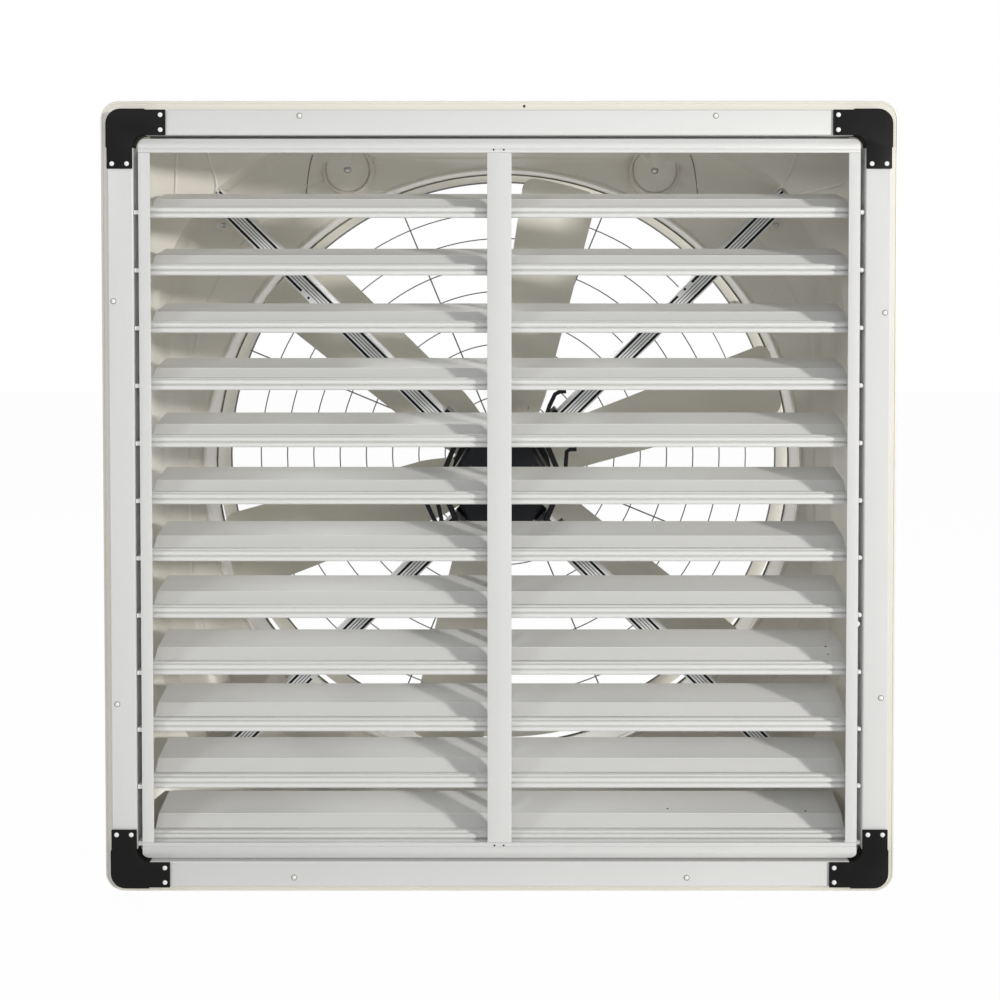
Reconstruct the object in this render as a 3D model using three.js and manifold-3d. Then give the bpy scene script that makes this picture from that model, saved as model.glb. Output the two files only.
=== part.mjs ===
// Fibreglass wall exhaust fan with a two-bay louvre shutter.
// Millimetres. +X is to the right seen from the shutter side, +Y runs into the wall
// along the fan's axis, +Z is up. The origin lies on the fan's axis, in the plane
// where the back of the flange meets the wall.
import * as THREE from 'three';
import { mergeVertices } from 'three/addons/utils/BufferGeometryUtils.js';
import Module from 'manifold-3d';

const wasm = await Module();
wasm.setup();

// Driving sizes
const flangeWidth = 1260;
const flangeThickness = 8;
const flangeCornerRadius = 30;
const flangeLip = 40;
const skinThickness = 5;
const seatGap = 0.3;
const cutOverrun = 2;

// Fibreglass housing, from the flange to the rear lip
const housing = {
  mouthCornerRadius: 50,
  mouthDepth: 60,
  bracedCornerRadius: 330,
  bracedDepth: 150,
  boxDepth: 232,
  shoulderDepth: 262,
  shoulderInset: 12,
  shoulderFlat: 228,
  bellDepth: 290,
  bellInset: 24,
  bellFlat: 146,
  ridgeDepth: 312,
  ridgeRise: 6,
  throatFront: 322,
  throatDepth: 422,
  throatInset: 40,
  roundFlat: 1,
  cornerSteps: 12,
};

// Outer shutter frame: aluminium rails and plastic corner brackets
const frame = {
  inset: 17,
  railWidth: 40,
  railHeight: 20,
  railEdge: 1.5,
  webThickness: 3,
  webWidth: 17,
  webRecess: 9,
  bracketLeg: 92,
  bracketProud: 1.5,
  bracketPlate: 3,
  bracketElbowRadius: 23.5,
  bracketInnerRadius: 19,
  bracketWidth: 40,
  arcSteps: 6,
};

// Inner shutter frame: stiles, head and sill, and the mullion between the bays
const inner = {
  gap: 9,
  faceWidth: 18,
  plate: 3,
  leg: 3,
  proud: 2,
  headFace: 22,
  headRise: 4,
  sillFace: 26.4,
  cornerRadius: 9.5,
  shoulderWidth: 10,
  shoulderSlope: 5,
  beadWidth: 5,
  beadGroove: 1,
  mullionWidth: 38,
  mullionPlate: 2.5,
  mullionLeg: 2,
  mullionLegSpacing: 16,
  mullionLegDepth: 22,
  mullionTab: 9,
};

// Louvre blade, measured from its pivot at the resting, open position
const louvre = {
  rows: 12,
  topRowDrop: 88,
  bottomRowRise: 1.8,
  pivotSetback: 17,
  beadRadius: 4,
  lipDrop: 9.8,
  lipBeadRadius: 3.3,
  lipFront: 0.9,
  lipBack: 0.7,
  sheet: 2,
  ledge: 22,
  ledgeHeight: 4,
  riserRun: 18,
  riserRise: 15.5,
  slopeRun: 60,
  slopeRise: 12,
  innerEnd: 10,
  endPlay: 6,
  pinRadius: 2.5,
  pinRoom: 0.6,
  pinTip: 5.5,
  pinReach: 7.5,
  pinSides: 8,
  holeSides: 12,
  crankBack: 46,
  crankHeight: 8,
  crankEdge: 4.5,
  endPlate: 2,
};

// Link bar that turns all the louvres together
const link = {
  thickness: 8,
  width: 12,
  endMargin: 10,
  pinGap: 0.6,
};

// Struts and motor mount
const strut = {
  angle: 45,
  width: 30,
  depth: 60,
  front: 168,
  slotWidth: 3,
  slotDepth: 3,
  frontSlotShares: [0.24, 0.44, 0.76],
  sideSlotShares: [0.25, 0.75],
};
const mount = {
  plateApothem: 78,
  plateThickness: 4,
  armReach: 150,
  strutFoot: 98,
  ringApothem: 102,
  ringBand: 9,
  ringDepth: 8,
  ringSides: 8,
  coverApothem: 80,
  coverProud: 28,
  coverEdge: 6,
  hexSides: 6,
};

// Motor, shaft, hub and blades
const motor = {
  radius: 85,
  length: 69.7,
  edge: 8,
  noseRadius: 34,
  noseLength: 6,
  boreDepth: 40,
  sides: 24,
};
const shaft = {
  radius: 12,
  fit: 0.4,
  bearingRoom: 0.6,
  rearOverhang: 14,
};
const hub = {
  apothem: 80,
  thickness: 58,
  bossRadius: 30,
  bossLength: 6,
};
const fanBlade = {
  count: 6,
  firstAngle: 11.7,
  tipClearance: 13,
  tipRounding: 14,
  rootChord: 96,
  rootTaper: 55,
  chord: 122,
  tipChord: 160,
  rootTwistAngle: 36,
  tipTwistAngle: 26,
  thickness: 4,
  camber: 9,
  stations: 5,
  chordSteps: 4,
};

// Rear guard and its stays
const guard = {
  standOff: 78,
  rimInset: 10,
  rimOverhang: 9,
  smallestRing: 63.6,
  rimThickness: 3,
  wireRadius: 1.6,
  outerRingGap: 58,
  rings: 9,
  ringStep: 14,
  leastSteps: 16,
  spokes: 8,
  spokeOffset: 22.5,
  wireSides: 4,
  stayAngle: 32.5,
  stayWidth: 22,
  stayThickness: 4,
};

// Places worked out from the sizes above
const flangeHalf = flangeWidth / 2;
const boxHalf = flangeHalf - flangeLip;
const throatRadius = boxHalf - housing.throatInset;
const ridgeRadius = throatRadius + housing.ridgeRise;
const frameHalf = flangeHalf - frame.inset;
const railInnerHalf = frameHalf - frame.railWidth;
const railBack = -flangeThickness - seatGap;
const railFront = -flangeThickness - frame.railHeight;
const webFront = -flangeThickness + frame.webRecess;
const innerHalf = railInnerHalf - inner.gap;
const sightHalf = innerHalf - inner.faceWidth;
const headHalf = innerHalf + inner.headRise;
const headSight = headHalf - inner.headFace;
const sillSight = headHalf - inner.sillFace;
const innerFront = railFront - inner.proud;
const plateBack = innerFront + inner.plate;
const legBack = webFront - seatGap;
const pivotDepth = plateBack + louvre.pivotSetback;
const holeRadius = louvre.pinRadius + louvre.pinRoom;
const louvreOuterEnd = innerHalf - inner.leg - louvre.endPlay;
const pinEnd = innerHalf + louvre.pinReach;
const blockSize = frame.bracketWidth + frame.bracketInnerRadius;
const strutBack = strut.front + strut.depth;
const mountPlateFront = strutBack + seatGap;
const motorFront = mountPlateFront + mount.plateThickness + seatGap;
const motorBack = motorFront + motor.length;
const motorNose = motorBack + motor.noseLength;
const hubFront = motorNose + seatGap;
const hubBack = hubFront + hub.bossLength + hub.thickness;
const hubMiddle = hubFront + hub.bossLength + hub.thickness / 2;
const bladeTipRadius = throatRadius - fanBlade.tipClearance;
const guardDepth = housing.throatDepth + guard.standOff;
const guardInnerRadius = throatRadius - guard.rimInset;
const guardOuterRadius = throatRadius + guard.rimOverhang;

// Axes and directions
const xAxis = new THREE.Vector3(1, 0, 0);
const yAxis = new THREE.Vector3(0, 1, 0);
const zAxis = new THREE.Vector3(0, 0, 1);
const quarterTurn = Math.PI / 2;
const radians = THREE.MathUtils.degToRad;

// Finishes
function finish(color, roughness, metalness) {
  return new THREE.MeshStandardMaterial({ color, roughness, metalness, flatShading: true });
}
const finishes = {
  fibreglass: () => finish(0xdedad0, 0.35, 0),
  railAluminium: () => finish(0xd9dad8, 0.4, 0.3),
  louvreEnamel: () => finish(0xd6d6d3, 0.3, 0),
  strutAluminium: () => finish(0xb4b7ba, 0.35, 0.8),
  blackPlastic: () => finish(0x242424, 0.5, 0),
  blackSteel: () => finish(0x191c22, 0.45, 0.3),
  bladeSheet: () => finish(0xa7a396, 0.5, 0.1),
  guardWire: () => finish(0x8a8c8c, 0.4, 0.5),
  steel: () => finish(0x9a9c9e, 0.35, 0.9),
};

// Solids: closed geometry to a solid and back, with joins and cuts
function solidOf(geometry) {
  const bare = geometry.clone();
  bare.deleteAttribute('normal');
  bare.deleteAttribute('uv');
  const merged = mergeVertices(bare);
  return new wasm.Manifold(new wasm.Mesh({
    numProp: 3,
    vertProperties: new Float32Array(merged.attributes.position.array),
    triVerts: new Uint32Array(merged.index.array),
  }));
}

function geometryOf(solid) {
  const mesh = solid.getMesh();
  const geometry = new THREE.BufferGeometry();
  geometry.setAttribute('position', new THREE.BufferAttribute(mesh.vertProperties, 3));
  geometry.setIndex(new THREE.BufferAttribute(mesh.triVerts, 1));
  return geometry;
}

function joined(...geometries) {
  return geometryOf(geometries.map(solidOf).reduce((whole, piece) => whole.add(piece)));
}

function cut(geometry, ...tools) {
  return geometryOf(tools.map(solidOf).reduce((whole, tool) => whole.subtract(tool), solidOf(geometry)));
}

function common(geometry, other) {
  return geometryOf(solidOf(geometry).intersect(solidOf(other)));
}

// An outline of [across, up] points, extruded from one place to another along a third axis
function extruded(points, from, to, acrossAxis, upAxis) {
  const outline = new THREE.Shape(points.map(([across, up]) => new THREE.Vector2(across, up)));
  const geometry = new THREE.ExtrudeGeometry(outline, { depth: to - from, bevelEnabled: false });
  const alongAxis = new THREE.Vector3().crossVectors(acrossAxis, upAxis);
  geometry.translate(0, 0, from);
  return geometry.applyMatrix4(new THREE.Matrix4().makeBasis(acrossAxis, upAxis, alongAxis));
}

const alongX = (points, from, to) => extruded(points, from, to, yAxis, zAxis);
const alongZ = (points, from, to) => extruded(points, from, to, xAxis, yAxis);
const alongY = (points, from, to) => extruded(points, from, to, zAxis, xAxis);

function box(lowX, highX, lowY, highY, lowZ, highZ) {
  const geometry = new THREE.BoxGeometry(highX - lowX, highY - lowY, highZ - lowZ);
  return geometry.translate((lowX + highX) / 2, (lowY + highY) / 2, (lowZ + highZ) / 2);
}

// A round bar along X between two places
function barAlongX(radius, sides, from, to, y, z) {
  const geometry = new THREE.CylinderGeometry(radius, radius, Math.abs(to - from), sides);
  geometry.rotateZ(quarterTurn);
  return geometry.translate((from + to) / 2, y, z);
}

// Points of an arc about a centre, both ends included, angles in degrees
function arc(centreX, centreY, radius, startAngle, endAngle, steps) {
  return Array.from({ length: steps + 1 }, (_, step) => {
    const angle = radians(startAngle + (endAngle - startAngle) * step / steps);
    return [centreX + radius * Math.cos(angle), centreY + radius * Math.sin(angle)];
  });
}

// One ring of the housing at a depth: a square with rounded corners, counted from +X to +Z
function roundedSquare(halfWidth, cornerRadius, depth) {
  const centre = halfWidth - cornerRadius;
  const quarter = arc(centre, centre, cornerRadius, 0, 90, housing.cornerSteps);
  return [0, 1, 2, 3].flatMap((turn) => quarter.map(([x, z]) => {
    const point = new THREE.Vector3(x, depth, z);
    return point.applyAxisAngle(yAxis, -turn * quarterTurn);
  }));
}

// A closed skin through rings that all have as many points and that end where they began
function closedSkin(rings) {
  const around = rings[0].length;
  const geometry = new THREE.BufferGeometry();
  const positions = rings.flat().flatMap((point) => [point.x, point.y, point.z]);
  const triangles = [];
  rings.forEach((_, ring) => {
    const next = (ring + 1) % rings.length;
    for (let step = 0; step < around; step += 1) {
      const after = (step + 1) % around;
      const corner = [ring, next].flatMap((row) => [row * around + step, row * around + after]);
      triangles.push(corner[0], corner[1], corner[2], corner[1], corner[3], corner[2]);
    }
  });
  geometry.setAttribute('position', new THREE.Float32BufferAttribute(positions, 3));
  geometry.setIndex(triangles);
  return geometry;
}

// The moulded shell: a square mouth with small corners, a braced zone with wide corners
// where the struts end, a shoulder that turns round, a bell and a short throat.
function housingGeometry() {
  const shoulderHalf = boxHalf - housing.shoulderInset;
  const bellHalf = boxHalf - housing.bellInset;
  const sections = [
    [-flangeThickness, boxHalf, housing.mouthCornerRadius],
    [housing.mouthDepth, boxHalf, housing.mouthCornerRadius],
    [housing.bracedDepth, boxHalf, housing.bracedCornerRadius],
    [housing.boxDepth, boxHalf, housing.bracedCornerRadius],
    [housing.shoulderDepth, shoulderHalf, shoulderHalf - housing.shoulderFlat],
    [housing.bellDepth, bellHalf, bellHalf - housing.bellFlat],
    [housing.ridgeDepth, ridgeRadius, ridgeRadius - housing.roundFlat],
    [housing.throatFront, throatRadius, throatRadius - housing.roundFlat],
    [housing.throatDepth, throatRadius, throatRadius - housing.roundFlat],
  ];
  const insideRings = sections.map(([depth, half, radius]) => roundedSquare(half, radius, depth));
  const outside = sections.slice(1).reverse();
  const outsideRings = outside.map(([depth, half, radius]) => (
    roundedSquare(half + skinThickness, radius + skinThickness, depth)));
  const outerHalf = boxHalf + skinThickness;
  const outerCorner = housing.mouthCornerRadius + skinThickness;
  const flangeRings = [
    roundedSquare(outerHalf, outerCorner, 0),
    roundedSquare(flangeHalf, flangeCornerRadius, 0),
    roundedSquare(flangeHalf, flangeCornerRadius, -flangeThickness),
  ];
  return closedSkin([...insideRings, ...outsideRings, ...flangeRings]);
}

// A rail of the outer frame, on the right side: a face bar on the flange and a web that
// turns back and inwards to carry the inner frame. It ends against the corner brackets.
function railGeometry() {
  const webBack = webFront + frame.webThickness;
  const webStem = railInnerHalf + frame.webThickness;
  const webEdge = webStem - frame.webWidth;
  const section = [
    [frameHalf, railFront + frame.railEdge],
    [frameHalf, railBack],
    [webStem, railBack],
    [webStem, webBack],
    [webEdge, webBack],
    [webEdge, webFront],
    [railInnerHalf, webFront],
    [railInnerHalf, railFront + frame.railEdge],
    [railInnerHalf + frame.railEdge, railFront],
    [frameHalf - frame.railEdge, railFront],
  ];
  const end = frameHalf - blockSize - seatGap;
  return alongZ(section, -end, end);
}

// A corner bracket, at the top right: a block between two rails and a thin plate with
// two legs that lap over the rails' faces.
function bracketGeometry() {
  const legEnd = frameHalf - frame.bracketLeg;
  const blockEnd = frameHalf - blockSize;
  const innerEdge = frameHalf - frame.bracketWidth;
  const outerEdge = frameHalf + frame.bracketProud;
  const elbowCentre = outerEdge - frame.bracketElbowRadius;
  const elbow = arc(elbowCentre, elbowCentre, frame.bracketElbowRadius, 0, 90, frame.arcSteps);
  const hollow = arc(blockEnd, blockEnd, frame.bracketInnerRadius, 90, 0, frame.arcSteps);
  const blockOutline = [[outerEdge, blockEnd], ...elbow, [blockEnd, outerEdge], ...hollow];
  const plateOutline = [
    [frameHalf, legEnd],
    [frameHalf, blockEnd],
    [outerEdge, blockEnd],
    ...elbow,
    [blockEnd, outerEdge],
    [blockEnd, frameHalf],
    [legEnd, frameHalf],
    [legEnd, innerEdge],
    ...hollow,
    [innerEdge, legEnd],
  ];
  const plateFront = railFront - seatGap - frame.bracketPlate;
  const onFace = (outline) => outline.map(([x, z]) => [z, x]);
  return joined(
    alongY(onFace(blockOutline), plateFront, railBack),
    alongY(onFace(plateOutline), plateFront, railFront - seatGap),
  );
}

// The angle section of a stile, on the right side: a face plate and an outer leg
function stileSection() {
  return [
    [innerHalf, innerFront],
    [innerHalf, legBack],
    [innerHalf - inner.leg, legBack],
    [innerHalf - inner.leg, plateBack],
    [sightHalf, plateBack],
    [sightHalf, innerFront],
  ];
}

// The section of the head and the sill: like a stile's, with a groove behind the edge bead
// and a shoulder that slopes back to the outer leg
function headSection(faceWidth) {
  const sight = headHalf - faceWidth;
  const grooveStart = sight + inner.beadWidth;
  const grooveEnd = grooveStart + inner.beadGroove;
  return [
    [sight, innerFront],
    [grooveStart, innerFront],
    [grooveStart, innerFront + inner.beadGroove],
    [grooveEnd, innerFront + inner.beadGroove],
    [grooveEnd, innerFront],
    [headHalf - inner.shoulderWidth, innerFront],
    [headHalf, innerFront + inner.shoulderSlope],
    [headHalf, legBack],
    [headHalf - inner.leg, legBack],
    [headHalf - inner.leg, plateBack + inner.shoulderSlope],
    [headHalf - inner.shoulderWidth - inner.leg, plateBack],
    [sight, plateBack],
  ];
}

// Heights of the louvre pivots, from the top row down
const topPivot = headSight - louvre.topRowDrop;
const bottomPivot = louvre.bottomRowRise - sillSight;
const pivotHeights = Array.from(
  { length: louvre.rows },
  (_, row) => topPivot + (bottomPivot - topPivot) * row / (louvre.rows - 1),
);

// A stile with a pivot hole for each louvre row through its outer leg
function stileGeometry() {
  const bar = alongZ(stileSection(), -sillSight + seatGap, headSight - seatGap);
  const holes = pivotHeights.map((height) => barAlongX(
    holeRadius,
    louvre.holeSides,
    innerHalf - inner.leg - cutOverrun,
    innerHalf + cutOverrun,
    pivotDepth,
    height,
  ));
  return cut(bar, ...holes);
}

// The head or the sill, on the right side until it is turned: it runs over both stile
// ends and has rounded outer corners.
function headGeometry(faceWidth) {
  const bar = alongZ(headSection(faceWidth), -innerHalf, innerHalf);
  const reach = innerHalf - inner.cornerRadius;
  const centre = headHalf - inner.cornerRadius;
  const topCorner = arc(reach, centre, inner.cornerRadius, 0, 90, frame.arcSteps);
  const lowCorner = topCorner.map(([along, across]) => [-along, across]).reverse();
  const base = headHalf - faceWidth - cutOverrun;
  const outline = [[innerHalf, base], ...topCorner, ...lowCorner, [-innerHalf, base]];
  return common(bar, alongY(outline, innerFront - cutOverrun, legBack + cutOverrun));
}

// The mullion: a face strip with two legs behind it that hold the louvres' inner pins
// and run on behind the head and the sill.
function mullionGeometry() {
  const stripBack = innerFront + inner.mullionPlate;
  const stripLow = -sillSight + seatGap;
  const stripHigh = headSight - seatGap;
  const tabFront = plateBack + seatGap;
  const legEnd = plateBack + inner.mullionLegDepth;
  const half = inner.mullionWidth / 2;
  const pieces = [box(-half, half, innerFront, stripBack, stripLow, stripHigh)];
  for (const side of [-1, 1]) {
    const legMiddle = side * inner.mullionLegSpacing / 2;
    const lowX = legMiddle - inner.mullionLeg / 2;
    const highX = legMiddle + inner.mullionLeg / 2;
    const legFront = innerFront + inner.mullionPlate / 2;
    pieces.push(box(lowX, highX, legFront, legEnd, stripLow, stripHigh));
    const tabLow = stripLow - inner.mullionTab;
    const tabHigh = stripHigh + inner.mullionTab;
    pieces.push(box(lowX, highX, tabFront, legEnd, tabLow, tabHigh));
  }
  const holes = pivotHeights.map((height) => (
    barAlongX(holeRadius, louvre.holeSides, -half, half, pivotDepth, height)));
  return cut(joined(...pieces), ...holes);
}

// The louvre's section, in [depth, height] from its pivot: a round bead, a lip with a
// second bead that hangs below it, a ledge, a riser and a long sloping blade.
function louvreSection() {
  const riserFoot = [louvre.ledge, louvre.ledgeHeight];
  const riserTop = [riserFoot[0] + louvre.riserRun, riserFoot[1] + louvre.riserRise];
  const rearEdge = [riserTop[0] + louvre.slopeRun, riserTop[1] + louvre.slopeRise];
  const under = louvre.sheet;
  const beadLow = -louvre.beadRadius * Math.sin(radians(50));
  return [
    [louvre.lipBack, beadLow],
    [riserFoot[0] + under / 2, riserFoot[1] - under],
    [riserTop[0] + under / 2, riserTop[1] - under],
    [rearEdge[0], rearEdge[1] - under],
    rearEdge,
    riserTop,
    riserFoot,
    ...arc(0, 0, louvre.beadRadius, 32, 230, frame.arcSteps),
    [-louvre.lipFront, -louvre.lipDrop + louvre.lipBeadRadius],
    ...arc(0, -louvre.lipDrop, louvre.lipBeadRadius, 150, 390, frame.arcSteps),
    [louvre.lipBack, -louvre.lipDrop + louvre.lipBeadRadius],
  ];
}

// Height of the sloping blade's upper face at a depth behind the pivot
function slopeHeight(depth) {
  const beyondRiser = depth - louvre.ledge - louvre.riserRun;
  return louvre.ledgeHeight + louvre.riserRise + beyondRiser * louvre.slopeRise / louvre.slopeRun;
}

// One louvre with its pivot at the origin: the blade, a pin at each end, and an end plate
// with the crank pin for the link bar. Side is -1 for the left bay and 1 for the right.
function louvreGeometry(side) {
  const inEnd = side * louvre.innerEnd;
  const outEnd = side * louvreOuterEnd;
  const plateEnd = inEnd + side * louvre.endPlate;
  const edge = louvre.crankEdge;
  const crank = [louvre.crankBack, louvre.crankHeight];
  const plateOutline = [
    [0, -louvre.beadRadius],
    [crank[0] + edge / 2, crank[1] - edge],
    [crank[0] + edge, crank[1]],
    [crank[0] + edge, slopeHeight(crank[0] + edge) - louvre.sheet / 2],
    [louvre.ledge + louvre.riserRun, slopeHeight(louvre.ledge + louvre.riserRun) - louvre.sheet / 2],
    [louvre.ledge, louvre.ledgeHeight - louvre.sheet / 2],
    [0, louvre.beadRadius / 2],
  ];
  const low = Math.min(inEnd, outEnd);
  const high = Math.max(inEnd, outEnd);
  const inside = side * louvre.sheet;
  return joined(
    alongX(louvreSection(), low, high),
    alongX(plateOutline, Math.min(inEnd, plateEnd), Math.max(inEnd, plateEnd)),
    barAlongX(louvre.pinRadius, louvre.pinSides, side * louvre.pinTip, inEnd + inside, 0, 0),
    barAlongX(louvre.pinRadius, louvre.pinSides, outEnd - inside, side * pinEnd, 0, 0),
    barAlongX(louvre.pinRadius, louvre.pinSides, side * link.pinGap, inEnd + inside, ...crank),
  );
}

// The link bar: a flat bar behind the mullion with a hole for each row's crank pins
function linkBarGeometry() {
  const middle = pivotDepth + louvre.crankBack;
  const low = pivotHeights[louvre.rows - 1] + louvre.crankHeight - link.endMargin;
  const high = pivotHeights[0] + louvre.crankHeight + link.endMargin;
  const half = link.thickness / 2;
  const bar = box(-half, half, middle - link.width / 2, middle + link.width / 2, low, high);
  const holes = pivotHeights.map((height) => barAlongX(
    holeRadius,
    louvre.holeSides,
    -half - cutOverrun,
    half + cutOverrun,
    middle,
    height + louvre.crankHeight,
  ));
  return cut(bar, ...holes);
}

// A rectangle with grooves: each side lists where its grooves lie, as shares of that side
function groovedRectangle(width, height, sideShares, grooveWidth, grooveDepth) {
  const corners = [[-width / 2, 0], [width / 2, 0], [width / 2, height], [-width / 2, height]];
  return corners.flatMap(([startX, startY], side) => {
    const [endX, endY] = corners[(side + 1) % corners.length];
    const length = Math.hypot(endX - startX, endY - startY);
    const along = [(endX - startX) / length, (endY - startY) / length];
    const at = (distance, sink) => [
      startX + along[0] * distance - along[1] * sink,
      startY + along[1] * distance + along[0] * sink,
    ];
    const grooves = sideShares[side].flatMap((share) => {
      const from = length * share - grooveWidth / 2;
      const to = from + grooveWidth;
      return [at(from, 0), at(from, grooveDepth), at(to, grooveDepth), at(to, 0)];
    });
    return [at(0, 0), ...grooves];
  });
}

// A strut with its length along +Z: a grooved aluminium bar from beside the cover to the
// housing's wide corner, where its flat end meets the corner's facets.
function strutGeometry() {
  const cornerTop = (boxHalf - housing.bracedCornerRadius) * Math.SQRT2 + housing.bracedCornerRadius;
  const facetSlope = Math.tan(quarterTurn / housing.cornerSteps / 2);
  const end = cornerTop - strut.width / 2 * facetSlope - seatGap;
  const section = groovedRectangle(
    strut.width,
    strut.depth,
    [strut.frontSlotShares, strut.sideSlotShares, strut.frontSlotShares, strut.sideSlotShares],
    strut.slotWidth,
    strut.slotDepth,
  );
  return alongZ(section, mount.strutFoot, end).translate(0, strut.front, 0);
}

// A prism along Y with flat sides up and down
function prism(sides, apothem, from, to) {
  const radius = apothem / Math.cos(Math.PI / sides);
  const geometry = new THREE.CylinderGeometry(radius, radius, to - from, sides);
  geometry.rotateY(Math.PI / sides);
  return geometry.translate(0, (from + to) / 2, 0);
}

// The motor mount: a hexagonal plate behind the struts with an arm along each of them
function mountGeometry() {
  const half = strut.width / 2;
  const back = mountPlateFront + mount.plateThickness;
  const arms = strutAngles.map((angle) => (
    box(-half, half, mountPlateFront, back, 0, mount.armReach).rotateY(angle)));
  return joined(prism(mount.hexSides, mount.plateApothem, mountPlateFront, back), ...arms);
}

// The brace: a flat eight-sided ring across the fronts of the struts, corners to the sides
function braceGeometry() {
  const back = strut.front - seatGap;
  const front = back - mount.ringDepth;
  const inside = mount.ringApothem - mount.ringBand;
  const ring = cut(
    prism(mount.ringSides, mount.ringApothem, front, back),
    prism(mount.ringSides, inside, front - cutOverrun, back + cutOverrun),
  );
  return ring.rotateY(Math.PI / mount.ringSides);
}

// The cover in the middle of the struts: a hexagonal box with a bevelled front edge
function coverGeometry() {
  const back = mountPlateFront - seatGap;
  const front = strut.front - mount.coverProud;
  const bevel = front + mount.coverEdge;
  const wide = mount.coverApothem / Math.cos(Math.PI / mount.hexSides);
  const narrow = (mount.coverApothem - mount.coverEdge) / Math.cos(Math.PI / mount.hexSides);
  const edge = new THREE.CylinderGeometry(wide, narrow, mount.coverEdge, mount.hexSides);
  edge.rotateY(Math.PI / mount.hexSides);
  edge.translate(0, (front + bevel) / 2, 0);
  return joined(prism(mount.hexSides, mount.coverApothem, bevel, back), edge);
}

// A body turned about the fan's axis from [radius, depth] points that begin and end on it
function turned(points, sides) {
  const outline = points.map(([radius, depth]) => new THREE.Vector2(radius, depth));
  return new THREE.LatheGeometry(outline, sides);
}

// The motor: a round casing with a nose and a blind bore for the shaft
function motorGeometry() {
  const boreRadius = shaft.radius + shaft.bearingRoom;
  const boreBottom = motorNose - motor.boreDepth;
  return turned([
    [0, motorFront],
    [motor.radius, motorFront],
    [motor.radius, motorBack - motor.edge],
    [motor.radius - motor.edge, motorBack],
    [motor.noseRadius, motorBack],
    [motor.noseRadius, motorNose],
    [boreRadius, motorNose],
    [boreRadius, boreBottom],
    [0, boreBottom],
  ], motor.sides);
}

// The shaft, from the bottom of the motor's bore to behind the hub
function shaftGeometry() {
  const from = motorNose - motor.boreDepth + seatGap;
  const to = hubBack + shaft.rearOverhang;
  const geometry = new THREE.CylinderGeometry(shaft.radius, shaft.radius, to - from, motor.sides);
  return geometry.translate(0, (from + to) / 2, 0);
}

// The hub: a hexagonal block with a flat side for each blade and a round boss
function hubGeometry() {
  const blockFront = hubFront + hub.bossLength;
  const boreRadius = shaft.radius + shaft.fit;
  const boss = new THREE.CylinderGeometry(hub.bossRadius, hub.bossRadius, hub.bossLength * 2, motor.sides);
  boss.translate(0, blockFront, 0);
  const boreLength = hubBack - hubFront + cutOverrun * 2;
  const bore = new THREE.CylinderGeometry(boreRadius, boreRadius, boreLength, motor.sides);
  bore.translate(0, (hubFront + hubBack) / 2, 0);
  return cut(joined(prism(mount.hexSides, hub.apothem, blockFront, hubBack), boss), bore);
}

// One section of a blade at a radius: a thin cambered arc, pitched about the blade's axis
function bladeSection(radius, chord, pitch) {
  const turn = radians(pitch);
  const side = (height) => Array.from({ length: fanBlade.chordSteps + 1 }, (_, step) => {
    const share = step / fanBlade.chordSteps * 2 - 1;
    const across = chord / 2 * share;
    const rise = fanBlade.camber * (1 - share * share) + height;
    return new THREE.Vector3(
      across * Math.cos(turn) - rise * Math.sin(turn),
      hubMiddle + across * Math.sin(turn) + rise * Math.cos(turn) - fanBlade.camber / 2,
      radius,
    );
  });
  return [...side(-fanBlade.thickness / 2), ...side(fanBlade.thickness / 2).reverse()];
}

// A blade along +Z: it widens from its root, keeps its width and is rounded at the tip
function bladeGeometry() {
  const root = hub.apothem + seatGap;
  const taperEnd = root + fanBlade.rootTaper;
  const tipStart = bladeTipRadius - fanBlade.tipRounding;
  const places = [[root, fanBlade.rootChord]];
  for (let station = 0; station <= fanBlade.stations; station += 1) {
    const outShare = station / fanBlade.stations;
    const chord = fanBlade.chord + (fanBlade.tipChord - fanBlade.chord) * outShare;
    places.push([taperEnd + (tipStart - taperEnd) * outShare, chord]);
  }
  places.push([bladeTipRadius, fanBlade.tipChord - fanBlade.tipRounding * 2]);
  const span = bladeTipRadius - root;
  const twistChange = fanBlade.tipTwistAngle - fanBlade.rootTwistAngle;
  const sections = places.map(([radius, chord]) => {
    const outShare = (radius - root) / span;
    return bladeSection(radius, chord, fanBlade.rootTwistAngle + twistChange * outShare);
  });
  return cappedSkin(sections);
}

// A closed skin through sections in a row, with a flat cap on the first and the last.
// Each section goes along one side and back along the other, so a cap is a strip.
function cappedSkin(sections) {
  const around = sections[0].length;
  const positions = sections.flat().flatMap((point) => [point.x, point.y, point.z]);
  const triangles = [];
  for (let row = 0; row < sections.length - 1; row += 1) {
    for (let step = 0; step < around; step += 1) {
      const after = (step + 1) % around;
      const low = row * around;
      const high = low + around;
      triangles.push(low + step, low + after, high + step, low + after, high + after, high + step);
    }
  }
  const last = (sections.length - 1) * around;
  for (let step = 0; step < around / 2 - 1; step += 1) {
    const mirror = around - 1 - step;
    triangles.push(step, mirror, step + 1, step + 1, mirror, mirror - 1);
    triangles.push(last + step, last + step + 1, last + mirror);
    triangles.push(last + step + 1, last + mirror - 1, last + mirror);
  }
  const geometry = new THREE.BufferGeometry();
  geometry.setAttribute('position', new THREE.Float32BufferAttribute(positions, 3));
  geometry.setIndex(triangles);
  return geometry;
}

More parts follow.
